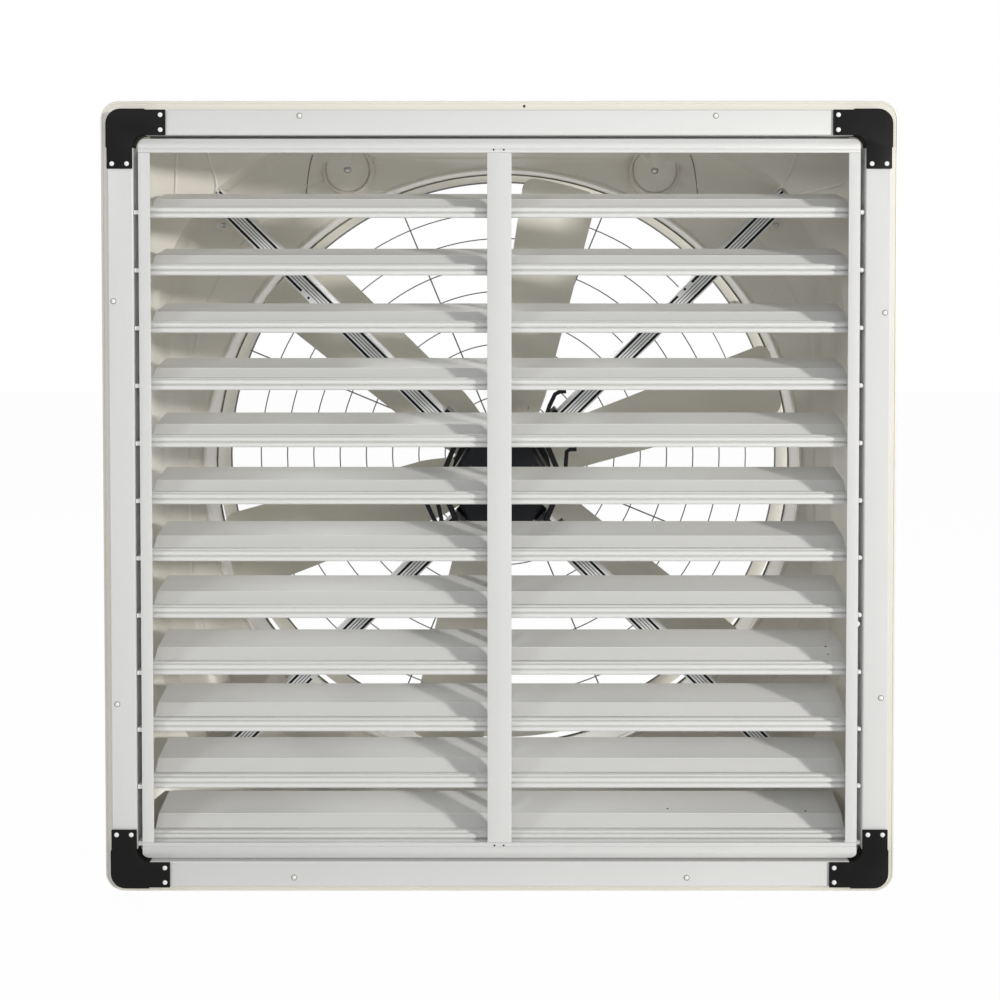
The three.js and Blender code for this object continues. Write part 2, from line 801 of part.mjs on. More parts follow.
// The rear guard: a flat rim, round wires about the axis and straight wires across them
function guardGeometry() {
  const wireMiddle = guardDepth + guard.rimThickness;
  const rim = turned([
    [guardInnerRadius, guardDepth],
    [guardOuterRadius, guardDepth],
    [guardOuterRadius, guardDepth + guard.rimThickness],
    [guardInnerRadius, guardDepth + guard.rimThickness],
    [guardInnerRadius, guardDepth],
  ], Math.round(guardOuterRadius / guard.ringStep));
  const pieces = [rim];
  const smallest = guard.smallestRing;
  const spacing = (guardInnerRadius - guard.outerRingGap - smallest) / (guard.rings - 1);
  for (let ring = 0; ring < guard.rings; ring += 1) {
    const radius = smallest + ring * spacing;
    const steps = guard.leastSteps + Math.round(radius / guard.ringStep);
    const wire = new THREE.TorusGeometry(radius, guard.wireRadius, guard.wireSides, steps);
    wire.rotateX(quarterTurn);
    pieces.push(wire.translate(0, wireMiddle, 0));
  }
  const half = guard.wireRadius;
  for (let spoke = 0; spoke < guard.spokes; spoke += 1) {
    const bar = box(
      -half,
      half,
      wireMiddle - half / 2,
      wireMiddle + half,
      smallest - half,
      guardInnerRadius + half,
    );
    pieces.push(bar.rotateY(radians(guard.spokeOffset + spoke * 360 / guard.spokes)));
  }
  return joined(...pieces);
}

// A stay along Y at +Z: a flat strip from the housing's rear lip to the guard's rim
function stayGeometry() {
  const low = throatRadius;
  const high = low + guard.stayThickness;
  const half = guard.stayWidth / 2;
  return box(-half, half, housing.throatDepth + seatGap, guardDepth - seatGap, low, high);
}

// Assembly
const fan = new THREE.Group();

function add(name, geometry, material, turn = 0, parent = fan) {
  const mesh = new THREE.Mesh(geometry, material);
  mesh.name = name;
  mesh.rotation.y = turn;
  parent.add(mesh);
  return mesh;
}

// Turns about the fan's axis that carry a piece from the right side to the others
const sides = [['right', 0], ['top', -quarterTurn], ['left', Math.PI], ['bottom', quarterTurn]];
const cornerNames = ['top_right', 'top_left', 'bottom_left', 'bottom_right'];

// Turns that carry a piece from straight up to each strut's place
const strutNames = ['upper_right', 'lower_right', 'lower_left', 'upper_left'];
const strutAngles = strutNames.map((_, place) => radians(strut.angle) + place * quarterTurn);

add('frp_housing', housingGeometry(), finishes.fibreglass());

const railShape = railGeometry();
for (const [side, turn] of sides) {
  add(`outer_rail_${side}`, railShape, finishes.railAluminium(), turn);
}

const bracketShape = bracketGeometry();
cornerNames.forEach((corner, place) => {
  add(`corner_bracket_${corner}`, bracketShape, finishes.blackPlastic(), sides[place][1]);
});

const stileShape = stileGeometry();
add('shutter_stile_right', stileShape, finishes.railAluminium());
add('shutter_stile_left', mirroredShape(stileShape), finishes.railAluminium());

add('shutter_head', headGeometry(inner.headFace), finishes.railAluminium(), -quarterTurn);
add('shutter_sill', headGeometry(inner.sillFace), finishes.railAluminium(), quarterTurn);
add('shutter_mullion', mullionGeometry(), finishes.railAluminium());

// The stile's holes are not halfway up, so the left stile is a mirror image, not a turn
function mirroredShape(geometry) {
  const mirrored = geometry.clone().scale(-1, 1, 1);
  const index = mirrored.index.array;
  for (let corner = 0; corner < index.length; corner += 3) {
    [index[corner], index[corner + 1]] = [index[corner + 1], index[corner]];
  }
  return mirrored;
}

const louvreShapes = [['left', louvreGeometry(-1)], ['right', louvreGeometry(1)]];
pivotHeights.forEach((height, row) => {
  const rowGroup = new THREE.Group();
  rowGroup.position.set(0, pivotDepth, height);
  fan.add(rowGroup);
  const number = String(row + 1).padStart(2, '0');
  for (const [side, shape] of louvreShapes) {
    add(`louvre_${side}_${number}`, shape, finishes.louvreEnamel(), 0, rowGroup);
  }
});
add('louvre_link_bar', linkBarGeometry(), finishes.strutAluminium());

const strutShape = strutGeometry();
strutNames.forEach((name, place) => {
  add(`motor_strut_${name}`, strutShape, finishes.strutAluminium(), strutAngles[place]);
});
add('motor_mount', mountGeometry(), finishes.blackSteel());
add('strut_brace', braceGeometry(), finishes.blackSteel());
add('motor_cover', coverGeometry(), finishes.blackSteel());
add('motor_body', motorGeometry(), finishes.blackSteel());

const rotor = new THREE.Group();
rotor.rotation.y = radians(fanBlade.firstAngle);
fan.add(rotor);
add('motor_shaft', shaftGeometry(), finishes.steel(), 0, rotor);
add('fan_hub', hubGeometry(), finishes.blackSteel(), 0, rotor);
const bladeShape = bladeGeometry();
for (let blade = 0; blade < fanBlade.count; blade += 1) {
  const turn = blade * 2 * Math.PI / fanBlade.count;
  add(`fan_blade_${blade + 1}`, bladeShape, finishes.bladeSheet(), turn, rotor);
}

add('rear_guard', guardGeometry(), finishes.guardWire());
const stayShape = stayGeometry();
strutNames.forEach((name, place) => {
  const isLower = name.startsWith('lower');
  const isLeft = name.endsWith('left');
  const fromTop = quarterTurn + (isLower ? 1 : -1) * radians(guard.stayAngle);
  add(`guard_stay_${strutNames[place]}`, stayShape, finishes.steel(), isLeft ? -fromTop : fromTop);
});

export default fan;
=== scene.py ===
import math

import bmesh
import bpy
import numpy as np
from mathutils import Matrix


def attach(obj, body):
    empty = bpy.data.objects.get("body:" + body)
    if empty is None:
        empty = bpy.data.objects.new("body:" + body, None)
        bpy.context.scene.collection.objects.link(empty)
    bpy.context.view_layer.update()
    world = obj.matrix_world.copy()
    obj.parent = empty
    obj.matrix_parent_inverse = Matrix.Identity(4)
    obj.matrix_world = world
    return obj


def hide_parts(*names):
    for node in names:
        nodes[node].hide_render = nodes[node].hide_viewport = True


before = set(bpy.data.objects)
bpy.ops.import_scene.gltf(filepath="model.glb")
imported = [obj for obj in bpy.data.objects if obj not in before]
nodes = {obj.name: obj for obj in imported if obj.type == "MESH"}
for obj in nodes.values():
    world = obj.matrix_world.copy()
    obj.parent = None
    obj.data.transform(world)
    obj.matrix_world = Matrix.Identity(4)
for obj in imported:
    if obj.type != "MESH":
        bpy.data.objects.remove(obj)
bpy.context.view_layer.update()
print("frame loaded:", len(nodes), "nodes")


# objects, materials and shader nodes

def addObject(name, data):
    made = bpy.data.objects.new(name, data)
    bpy.context.scene.collection.objects.link(made)
    return made


def newMaterial(name):
    material = bpy.data.materials.new(name)
    material.use_nodes = True
    return material, material.node_tree


def joinInputs(tree, node, inputs):
    # each input is set to a value or joined to another node's output
    for label, value in inputs.items():
        if isinstance(value, bpy.types.NodeSocket):
            tree.links.new(value, node.inputs[label])
        else:
            node.inputs[label].default_value = value
    return node


def addNode(tree, kind, inputs):
    return joinInputs(tree, tree.nodes.new("ShaderNode" + kind), inputs)


def addGroup(tree, group, inputs):
    made = tree.nodes.new("ShaderNodeGroup")
    made.node_tree = group
    return joinInputs(tree, made, inputs)


def maths(tree, operation, first, second, clamp=False):
    step = addNode(tree, "Math", {0: first, 1: second})
    step.operation = operation
    step.use_clamp = clamp
    return step.outputs[0]


def noise(tree, vector, scale, detail, rough=0.55):
    made = addNode(tree, "TexNoise", {"Vector": vector, "Scale": scale, "Detail": detail, "Roughness": rough})
    return made.outputs["Fac"]


def blendColors(tree, factor, first, second, mode="MIX"):
    made = tree.nodes.new("ShaderNodeMix")
    made.data_type = "RGBA"
    made.blend_type = mode
    return joinInputs(tree, made, {0: factor, 6: first, 7: second}).outputs[2]


# camera, world, floor and lamps

cameraValues = {
    "place": (0.029, -2.008, 0.347),
    "lookDown": 1.3,          # degrees
    "lens": 45.52,
    "sensor": 36,
    "shift": (-0.0179, -0.1912),
    "clip": (0.05, 60),
}


def makeCamera(values):
    data = bpy.data.cameras.new("camera")
    data.lens = values["lens"]
    data.sensor_width = values["sensor"]
    data.shift_x, data.shift_y = values["shift"]
    data.clip_start, data.clip_end = values["clip"]
    camera = addObject("camera", data)
    camera.location = values["place"]
    camera.rotation_euler = (math.radians(90 - values["lookDown"]), 0, 0)
    bpy.context.scene.camera = camera


studioValues = {
    "ambient": (0.95, 0.97, 1.0, 1),
    "ambientStrength": 0.29,
    "white": (1, 1, 1, 1),
    "floorUnder": 0.6302,     # the fan stands on its flange's lower edge
    "floorHalf": 9.0,
    "floorColor": (0.93, 0.93, 0.92, 1),
    "floorGlow": 0.975,       # share of the floor that is plain white to the camera
    # name: place, point it faces, width, height, watts, colour
    "lamps": {
        "keyLamp": ((5.4, -4.6, 1.25), (0, 0, 0), 0.60, 0.60, 320, (1.0, 0.985, 0.96)),
        "leftLamp": ((-3.6, -4.0, 1.6), (0, 0, 0), 1.2, 1.2, 44, (0.97, 0.98, 1.0)),
        "frontLamp": ((0.4, -5.0, 2.4), (0, 0, -0.1), 3.0, 2.4, 50, (1.0, 1.0, 1.0)),
        "rearLamp": ((-0.8, 3.0, 1.4), (0, 0, 0), 2.4, 2.0, 40, (1.0, 1.0, 1.0)),
    },
}


def whiteForTheEye(tree, lit, white, share):
    # camera, mirror-like and see-through rays meet plain white; other rays meet the lit shader
    path = addNode(tree, "LightPath", {}).outputs
    seen = maths(tree, "MAXIMUM", path["Is Camera Ray"], path["Is Glossy Ray"])
    seen = maths(tree, "MAXIMUM", seen, path["Is Transmission Ray"])
    factor = maths(tree, "MULTIPLY", seen, share)
    return addNode(tree, "MixShader", {0: factor, 1: lit.outputs[0], 2: white.outputs[0]}).outputs[0]


def makeWorld(values):
    bpy.context.scene.view_settings.view_transform = "Standard"
    world = bpy.data.worlds.new("world")
    bpy.context.scene.world = world
    world.use_nodes = True
    tree = world.node_tree
    tree.nodes.clear()
    lit = addNode(tree, "Background", {"Color": values["ambient"], "Strength": values["ambientStrength"]})
    white = addNode(tree, "Background", {"Color": values["white"], "Strength": 1})
    addNode(tree, "OutputWorld", {0: whiteForTheEye(tree, lit, white, 1)})


def makeFloor(values):
    half, down = values["floorHalf"], -values["floorUnder"]
    mesh = bpy.data.meshes.new("floor")
    corners = [(-half, -half, down), (half, -half, down), (half, half, down), (-half, half, down)]
    mesh.from_pydata(corners, [], [(0, 1, 2, 3)])
    floor = addObject("floor", mesh)
    material, tree = newMaterial("paleFloor")
    tree.nodes.clear()
    diffuse = addNode(tree, "BsdfDiffuse", {"Color": values["floorColor"]})
    glow = addNode(tree, "Emission", {"Color": values["white"], "Strength": 1})
    addNode(tree, "OutputMaterial", {0: whiteForTheEye(tree, diffuse, glow, values["floorGlow"])})
    mesh.materials.append(material)


def makeLamps(lamps):
    for name, (place, aim, width, height, watts, color) in lamps.items():
        lamp = bpy.data.lights.new(name, "AREA")
        lamp.shape = "RECTANGLE"
        lamp.size, lamp.size_y = width, height
        lamp.energy = watts
        lamp.color = color
        holder = addObject(name, lamp)
        holder.location = place
        toward = [aim[k] - place[k] for k in range(3)]
        flat = math.hypot(toward[0], toward[1])
        holder.rotation_euler = (math.atan2(flat, -toward[2]), 0, math.atan2(-toward[0], toward[1]))


makeCamera(cameraValues)
makeWorld(studioValues)
makeFloor(studioValues)
makeLamps(studioValues["lamps"])
print("camera, floor and lamps ready")


# materials

effectValues = {
    # uneven tone and dust: noise scale and detail, shares of both noises in the dust, roughness the dust adds
    "aged": {"broadDetail": 5, "fineScale": 190, "fineDetail": 3, "broadShare": 0.8, "fineShare": 0.6,
             "dustRoughness": 0.5},
    "grainDetail": 2,
    # drawn lines: scale along the bar against the scale across it, noise detail and roughness
    "drawn": {"stretch": (1, 1, 0.012), "detail": 3, "roughness": 0.7},
}


def newGroup(name, inputs, outputs):
    tree = bpy.data.node_groups.new(name, "ShaderNodeTree")
    for label, (kind, value) in inputs.items():
        socket = tree.interface.new_socket(label, in_out="INPUT", socket_type="NodeSocket" + kind)
        socket.default_value = value
    for label, kind in outputs.items():
        tree.interface.new_socket(label, in_out="OUTPUT", socket_type="NodeSocket" + kind)
    return tree, tree.nodes.new("NodeGroupInput").outputs, tree.nodes.new("NodeGroupOutput")


def agedGroup(v):
    # uneven tone, dust on faces that look up, and a roughness that follows both
    tree, given, end = newGroup(
        "agedSurface",
        {"Color": ("Color", (0.8, 0.8, 0.8, 1)), "Dust Color": ("Color", (0.5, 0.46, 0.4, 1)),
         "Mottle Scale": ("Float", 6), "Mottle": ("Float", 0.06), "Dust": ("Float", 0.15),
         "Roughness": ("Float", 0.4), "Spread": ("Float", 0.12)},
        {"Color": "Color", "Roughness": "Float"})
    place = addNode(tree, "TexCoord", {}).outputs["Object"]
    broad = noise(tree, place, given["Mottle Scale"], v["broadDetail"])
    fine = noise(tree, place, v["fineScale"], v["fineDetail"])
    swing = maths(tree, "MULTIPLY", maths(tree, "SUBTRACT", broad, 0.5), given["Mottle"])
    level = maths(tree, "ADD", 1, maths(tree, "MULTIPLY", swing, 2))
    gray = addNode(tree, "CombineColor", {0: level, 1: level, 2: level}).outputs[0]
    toned = blendColors(tree, 1.0, given["Color"], gray, "MULTIPLY")
    normal = addNode(tree, "NewGeometry", {}).outputs["Normal"]
    facing = maths(tree, "MAXIMUM", addNode(tree, "SeparateXYZ", {0: normal}).outputs["Z"], 0)
    cloud = maths(tree, "ADD", maths(tree, "MULTIPLY", broad, v["broadShare"]),
                  maths(tree, "MULTIPLY", fine, v["fineShare"]))
    dust = maths(tree, "MULTIPLY", maths(tree, "MULTIPLY", facing, cloud), given["Dust"], clamp=True)
    uneven = maths(tree, "MULTIPLY", maths(tree, "SUBTRACT", fine, 0.5), given["Spread"])
    rough = maths(tree, "ADD", maths(tree, "ADD", given["Roughness"], uneven),
                  maths(tree, "MULTIPLY", dust, v["dustRoughness"]), clamp=True)
    joinInputs(tree, end, {"Color": blendColors(tree, dust, toned, given["Dust Color"]), "Roughness": rough})
    return tree


def grainGroup(detail):
    # a height: fine speckle on a slow wave
    tree, given, end = newGroup(
        "fineGrain",
        {"Speckle Scale": ("Float", 900), "Speckle": ("Float", 0.5), "Wave Scale": ("Float", 9),
         "Wave": ("Float", 0.5)},
        {"Height": "Float"})
    place = addNode(tree, "TexCoord", {}).outputs["Object"]
    speckle = noise(tree, place, given["Speckle Scale"], detail)
    wave = noise(tree, place, given["Wave Scale"], detail)
    joinInputs(tree, end, {"Height": maths(tree, "ADD", maths(tree, "MULTIPLY", speckle, given["Speckle"]),
                                           maths(tree, "MULTIPLY", wave, given["Wave"]))})
    return tree


def drawnGroup(v):
    # lines along Z after turning about Y: noise stretched along the length of the bar
    tree, given, end = newGroup(
        "drawnLines", {"Turn": ("Vector", (0, 0, 0)), "Fineness": ("Float", 700)}, {"Lines": "Float"})
    turned = tree.nodes.new("ShaderNodeVectorRotate")
    turned.rotation_type = "EULER_XYZ"
    place = addNode(tree, "TexCoord", {}).outputs["Object"]
    joinInputs(tree, turned, {"Vector": place, "Rotation": given["Turn"]})
    squeezed = addNode(tree, "Mapping", {"Scale": v["stretch"], "Vector": turned.outputs[0]})
    lines = noise(tree, squeezed.outputs[0], given["Fineness"], v["detail"], v["roughness"])
    joinInputs(tree, end, {"Lines": lines})
    return tree


aged, grain = agedGroup(effectValues["aged"]), grainGroup(effectValues["grainDetail"])
drawn = drawnGroup(effectValues["drawn"])

finishValues = {
    # colour, mottle scale, mottle, dust, roughness, its spread, metal, coat, specular, speckle, wave, bump
    "gelcoat": ((0.74, 0.712, 0.635), 5, 0.05, 0.08, 0.36, 0.1, 0, 0.25, 0.5, 0.25, 0.9, 0.08),
    "coatedAluminium": ((0.645, 0.645, 0.635), 4, 0.03, 0.05, 0.42, 0.08, 0, 0.1, 0.4, 0.5, 0.3, 0.05),
    "louvreEnamel": ((0.695, 0.695, 0.68), 5, 0.03, 0.06, 0.44, 0.06, 0, 0, 0.45, 0.2, 0.2, 0.05),
    "blackPlastic": ((0.005, 0.005, 0.005), 8, 0.1, 0.02, 0.5, 0.12, 0, 0, 0.12, 0.9, 0.2, 0.15),
    "blackSteel": ((0.005, 0.006, 0.009), 9, 0.12, 0.03, 0.42, 0.12, 0, 0, 0.25, 0.6, 0.4, 0.08),
    "bladeSheet": ((0.76, 0.74, 0.655), 7, 0.06, 0.06, 0.42, 0.1, 0, 0.05, 0.4, 0.5, 0.6, 0.08),
    "dippedWire": ((0.16, 0.165, 0.165), 20, 0.1, 0.05, 0.42, 0.08, 0, 0.1, 0.4, 0.4, 0.4, 0.06),
    "plainSteel": ((0.5, 0.505, 0.51), 14, 0.1, 0.05, 0.32, 0.12, 1, 0, 0.5, 0.4, 0.3, 0.06),
    "whiteRivet": ((0.78, 0.78, 0.77), 30, 0.04, 0, 0.3, 0.08, 0, 0.2, 0.5, 0.2, 0.2, 0.04),
    # the black of the screws in the struts' slots, and painted shade: the dark strips inside those slots
    "blackScrewAndSlotShade": ((0.01, 0.01, 0.011), 12, 0.1, 0.02, 0.55, 0.1, 0, 0, 0.15, 0.5, 0.3, 0.1),
    "darkScrew": ((0.035, 0.036, 0.038), 30, 0.1, 0, 0.4, 0.1, 1, 0, 0.5, 0.4, 0.3, 0.06),
    # dark lines and rings that stand for shade: shadow gaps, the shade of grooves and shadows round screw
    # heads (painted shade)
    "paintedShade": ((0.2, 0.19, 0.15), 12, 0.06, 0.05, 0.5, 0.1, 0, 0, 0.3, 0.5, 0.5, 0.06),
    # a paler copy of the gelcoat for beads and ridges: painted highlight, as if they catch the light
    "paintedHighlightGelcoat": ((0.8, 0.78, 0.71), 6, 0.04, 0.05, 0.36, 0.1, 0, 0.25, 0.5, 0.25, 0.9, 0.06),
}
coatRoughness, grainHeight = 0.2, 0.001   # the height in metres


def makeFinish(name, values):
    (color, mottleScale, mottle, dust, roughness, spread, metal, coat, specular, speckle, wave, bump) = values
    material, tree = newMaterial(name)
    tone = addGroup(tree, aged, {"Color": (*color, 1), "Mottle Scale": mottleScale, "Mottle": mottle,
                                 "Dust": dust, "Roughness": roughness, "Spread": spread}).outputs
    height = addGroup(tree, grain, {"Speckle": speckle, "Wave": wave}).outputs["Height"]
    bumped = addNode(tree, "Bump", {"Strength": bump, "Distance": grainHeight, "Height": height})
    joinInputs(tree, tree.nodes["Principled BSDF"], {
        "Base Color": tone["Color"], "Roughness": tone["Roughness"], "Normal": bumped.outputs[0],
        "Metallic": metal, "Coat Weight": coat, "Coat Roughness": coatRoughness,
        "Specular IOR Level": specular})
    return material


finishes = {name: makeFinish(name, values) for name, values in finishValues.items()}

millValues = {
    "color": (0.86, 0.865, 0.87, 1), "dark": (0.76, 0.77, 0.78, 1), "metallic": 0.2,
    "roughness": 0.28, "lineRoughness": 0.2, "bump": 0.05, "lineHeight": 0.0005,
    "turns": {"millRising": -45, "millFalling": 45, "millUpright": 0},
}


def makeMill(name, degrees, values):
    material, tree = newMaterial(name)
    lines = addGroup(tree, drawn, {"Turn": (0, math.radians(degrees), 0)}).outputs["Lines"]
    bumped = addNode(tree, "Bump", {"Strength": values["bump"], "Distance": values["lineHeight"],
                                    "Height": lines})
    rougher = maths(tree, "MULTIPLY", lines, values["lineRoughness"])
    joinInputs(tree, tree.nodes["Principled BSDF"], {
        "Base Color": blendColors(tree, lines, values["dark"], values["color"]),
        "Roughness": maths(tree, "ADD", values["roughness"], rougher),
        "Normal": bumped.outputs[0], "Metallic": values["metallic"]})
    return material


for millName, degrees in millValues["turns"].items():
    finishes[millName] = makeMill(millName, degrees, millValues)


# start of the CAD node's name: its finish and the rounding of its edges in millimetres, 0 for none
nodeValues = {
    "frp_housing": ("gelcoat", 0), "outer_rail": ("coatedAluminium", 0.8),
    "shutter_": ("coatedAluminium", 0.5), "corner_bracket": ("blackPlastic", 0.9),
    "louvre_link": ("millUpright", 0.5), "louvre_": ("louvreEnamel", 0),
    "motor_strut_upper_right": ("millRising", 0.5), "motor_strut_lower_left": ("millRising", 0.5),
    "motor_strut": ("millFalling", 0.5), "motor_mount": ("blackSteel", 0.8),
    "strut_brace": ("blackSteel", 0.8), "motor_cover": ("blackSteel", 1.5), "motor_body": ("blackSteel", 1.0),
    "fan_hub": ("blackSteel", 1.5), "fan_blade": ("bladeSheet", 0), "rear_guard": ("dippedWire", 0),
    "guard_stay": ("plainSteel", 0.6), "motor_shaft": ("plainSteel", 0),
}
# metres within which points are one, and angles in degrees: of faces that count as one flat face, of edges
# that are rounded on a node and on a new piece, and of edges that stay sharp
edgeValues = {"weld": 0.00002, "flat": 0.4, "nodeEdge": 32, "pieceEdge": 50, "sharp": 30}


def prepareNode(obj):
    weld = obj.modifiers.new("weld", "WELD")
    weld.merge_threshold = edgeValues["weld"]
    for face in obj.data.polygons:
        face.use_smooth = True


def addBevel(obj, millimetres, degrees):
    bevel = obj.modifiers.new("edges", "BEVEL")
    bevel.width = millimetres / 1000
    bevel.segments = 2
    bevel.limit_method = "ANGLE"
    bevel.angle_limit = math.radians(degrees)
    return bevel


def roundEdges(obj, millimetres):
    flat = obj.modifiers.new("flatFaces", "DECIMATE")
    flat.decimate_type = "DISSOLVE"
    flat.angle_limit = math.radians(edgeValues["flat"])
    addBevel(obj, millimetres, edgeValues["nodeEdge"]).harden_normals = True


def splitSharp(obj, degrees):
    split = obj.modifiers.new("sharp", "EDGE_SPLIT")
    split.split_angle = math.radians(degrees)


for name, obj in nodes.items():
    finish, rounding = next(entry for start, entry in nodeValues.items() if name.startswith(start))
    obj.data.materials.clear()
    obj.data.materials.append(finishes[finish])
    prepareNode(obj)
    if rounding:
        roundEdges(obj, rounding)
    else:
        splitSharp(obj, edgeValues["sharp"])
print("materials on the CAD nodes")


# meshes worked out as whole arrays

def gridFaces(rows, columns, wrapRows, wrapColumns):
    # quads between neighbouring points of a rows x columns grid, counted row by row
    r = np.arange(rows if wrapRows else rows - 1)[:, None]
    c = np.arange(columns if wrapColumns else columns - 1)[None, :]
    r2, c2 = (r + 1) % rows, (c + 1) % columns
    corners = [r * columns + c, r * columns + c2, r2 * columns + c2, r2 * columns + c]
    return np.stack([np.broadcast_to(k, (r.size, c.size)).ravel() for k in corners], axis=1)


def loftShape(grid, wrapRows=False):
    # sections in rows, each a closed loop; unless the rows wrap, the first and the last get flat caps
    rows, columns = grid.shape[:2]
    faces = gridFaces(rows, columns, wrapRows, True).tolist()
    if not wrapRows:
        faces.append(list(range(columns))[::-1])
        faces.append([(rows - 1) * columns + k for k in range(columns)])
    return grid.reshape(-1, 3), faces


def joinShapes(shapes):
    points, faces, start = [], [], 0
    for shapePoints, shapeFaces in shapes:
        points.append(np.asarray(shapePoints, float))
        faces += [[index + start for index in face] for face in shapeFaces]
        start += len(shapePoints)
    return np.concatenate(points), faces


def addPiece(name, shape, finish, splitAngle=35, stands=(), body="fixed_frame"):
    # doubles merged, faces turned outwards, sharp edges split for shading; stands are the nodes it replaces
    points, faces = shape
    mesh = bpy.data.meshes.new(name)
    mesh.from_pydata((np.asarray(points) / 1000).tolist(), [], faces)
    edit = bmesh.new()
    edit.from_mesh(mesh)
    bmesh.ops.remove_doubles(edit, verts=edit.verts, dist=1e-6)
    bmesh.ops.dissolve_degenerate(edit, edges=edit.edges, dist=1e-7)
    bmesh.ops.recalc_face_normals(edit, faces=edit.faces)
    edit.to_mesh(mesh)
    edit.free()
    mesh.polygons.foreach_set("use_smooth", np.ones(len(mesh.polygons), dtype=bool))
    piece = addObject(name, mesh)
    mesh.materials.append(finishes[finish])
    splitSharp(piece, splitAngle)
    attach(piece, body)
    if stands:
        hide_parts(*stands)
    return piece


def soften(piece, millimetres):
    # a bevel on the sharp edges, put before the split
    bevel = addBevel(piece, millimetres, edgeValues["pieceEdge"])
    while piece.modifiers[0] != bevel:
        piece.modifiers.move(len(piece.modifiers) - 1, 0)


def turnAboutY(points, degrees):
    # clockwise seen from the shutter side, from +Z towards +X
    angle = math.radians(degrees)
    x, y, z = points[..., 0], points[..., 1], points[..., 2]
    return np.stack([x * math.cos(angle) + z * math.sin(angle), y,
                     -x * math.sin(angle) + z * math.cos(angle)], axis=-1)


def turnShape(shape, degrees):
    return turnAboutY(np.asarray(shape[0], float), degrees), shape[1]


def moveShape(shape, x, y, z):
    return np.asarray(shape[0], float) + np.array([x, y, z]), shape[1]


def latheY(outline, steps, centre=(0, 0)):
    # outline of (radius, depth) points turned about a line along Y through the centre
    radius, depth = np.asarray(outline, float).T
    angle = np.linspace(0, 2 * np.pi, steps, endpoint=False)[:, None]
    grid = np.stack([centre[0] + radius * np.sin(angle), np.broadcast_to(depth, (steps, len(depth))),
                     centre[1] + radius * np.cos(angle)], axis=-1)
    return grid.reshape(-1, 3), gridFaces(steps, len(depth), True, False).tolist()


def ringTube(radius, depth, wire, steps, sides):
    # a round wire bent into a ring about the fan's axis
    angle = np.linspace(0, 2 * np.pi, sides, endpoint=False)
    outline = np.stack([radius + wire * np.cos(angle), depth + wire * np.sin(angle)], axis=1)
    return latheY(np.vstack([outline, outline[:1]]), steps)


def tube(start, end, radius, sides, endRound=0.0):
    # a straight round bar between two points, its ends drawn in by a share of the radius
    start, end = np.asarray(start, float), np.asarray(end, float)
    along = (end - start) / np.linalg.norm(end - start)
    side = np.cross(along, [0.0, 0.0, 1.0] if abs(along[2]) < 0.9 else [1.0, 0.0, 0.0])
    side /= np.linalg.norm(side)
    up = np.cross(along, side)
    angle = np.linspace(0, 2 * np.pi, sides, endpoint=False)
    circle = np.cos(angle)[:, None] * side + np.sin(angle)[:, None] * up
    soft = radius * endRound
    rings = [(start, radius - soft), (end, radius - soft)]
    if endRound:
        rings[1:1] = [(start + along * soft, radius), (end - along * soft, radius)]
    return loftShape(np.stack([place + circle * r for place, r in rings]))


def bent(points, radii, steps):
    # an open polyline whose inner corners are rounded, each by its own radius
    points = np.asarray(points, float)
    made = [points[:1]]
    t = np.linspace(0, 1, steps)[:, None]
    for before, here, after, radius in zip(points, points[1:], points[2:], radii):
        a, b = before - here, after - here
        lengthA, lengthB = np.linalg.norm(a), np.linalg.norm(b)
        reach = min(radius, lengthA * 0.45, lengthB * 0.45)
        p, q = here + a / lengthA * reach, here + b / lengthB * reach
        made.append((1 - t) ** 2 * p + 2 * t * (1 - t) * here + t ** 2 * q)
    made.append(points[-1:])
    return np.concatenate(made)


def ovalArc(centreY, centreZ, halfY, halfZ, start, end, steps):
    angle = np.radians(np.linspace(start, end, steps))
    return np.stack([centreY + halfY * np.cos(angle), centreZ + halfZ * np.sin(angle)], axis=1)


def prismAlongX(outline, low, high):
    # an outline of (depth, height) points carried along X
    outline = np.asarray(outline, float)
    ends = [np.column_stack([np.full(len(outline), x), outline]) for x in (low, high)]
    return loftShape(np.stack(ends))


def block(low, high):
    x, y, z = zip(low, high)
    outline = [(y[0], z[0]), (y[1], z[0]), (y[1], z[1]), (y[0], z[1])]
    return prismAlongX(outline, x[0], x[1])


def dome(x, y, z, radius, rise, sides, sink=0.4):
    # a low round head facing the shutter side: radius falls off as a quarter of an oval
    angle = np.radians(np.linspace(0, 90, 6))
    outline = [(0, y + sink), (radius, y + sink)]
    outline += [(radius * math.cos(a), y - rise * math.sin(a)) for a in angle]
    return latheY(outline, sides, (x, z))


# louvres: one folded sheet with two beads, worked out as an outline carried along X

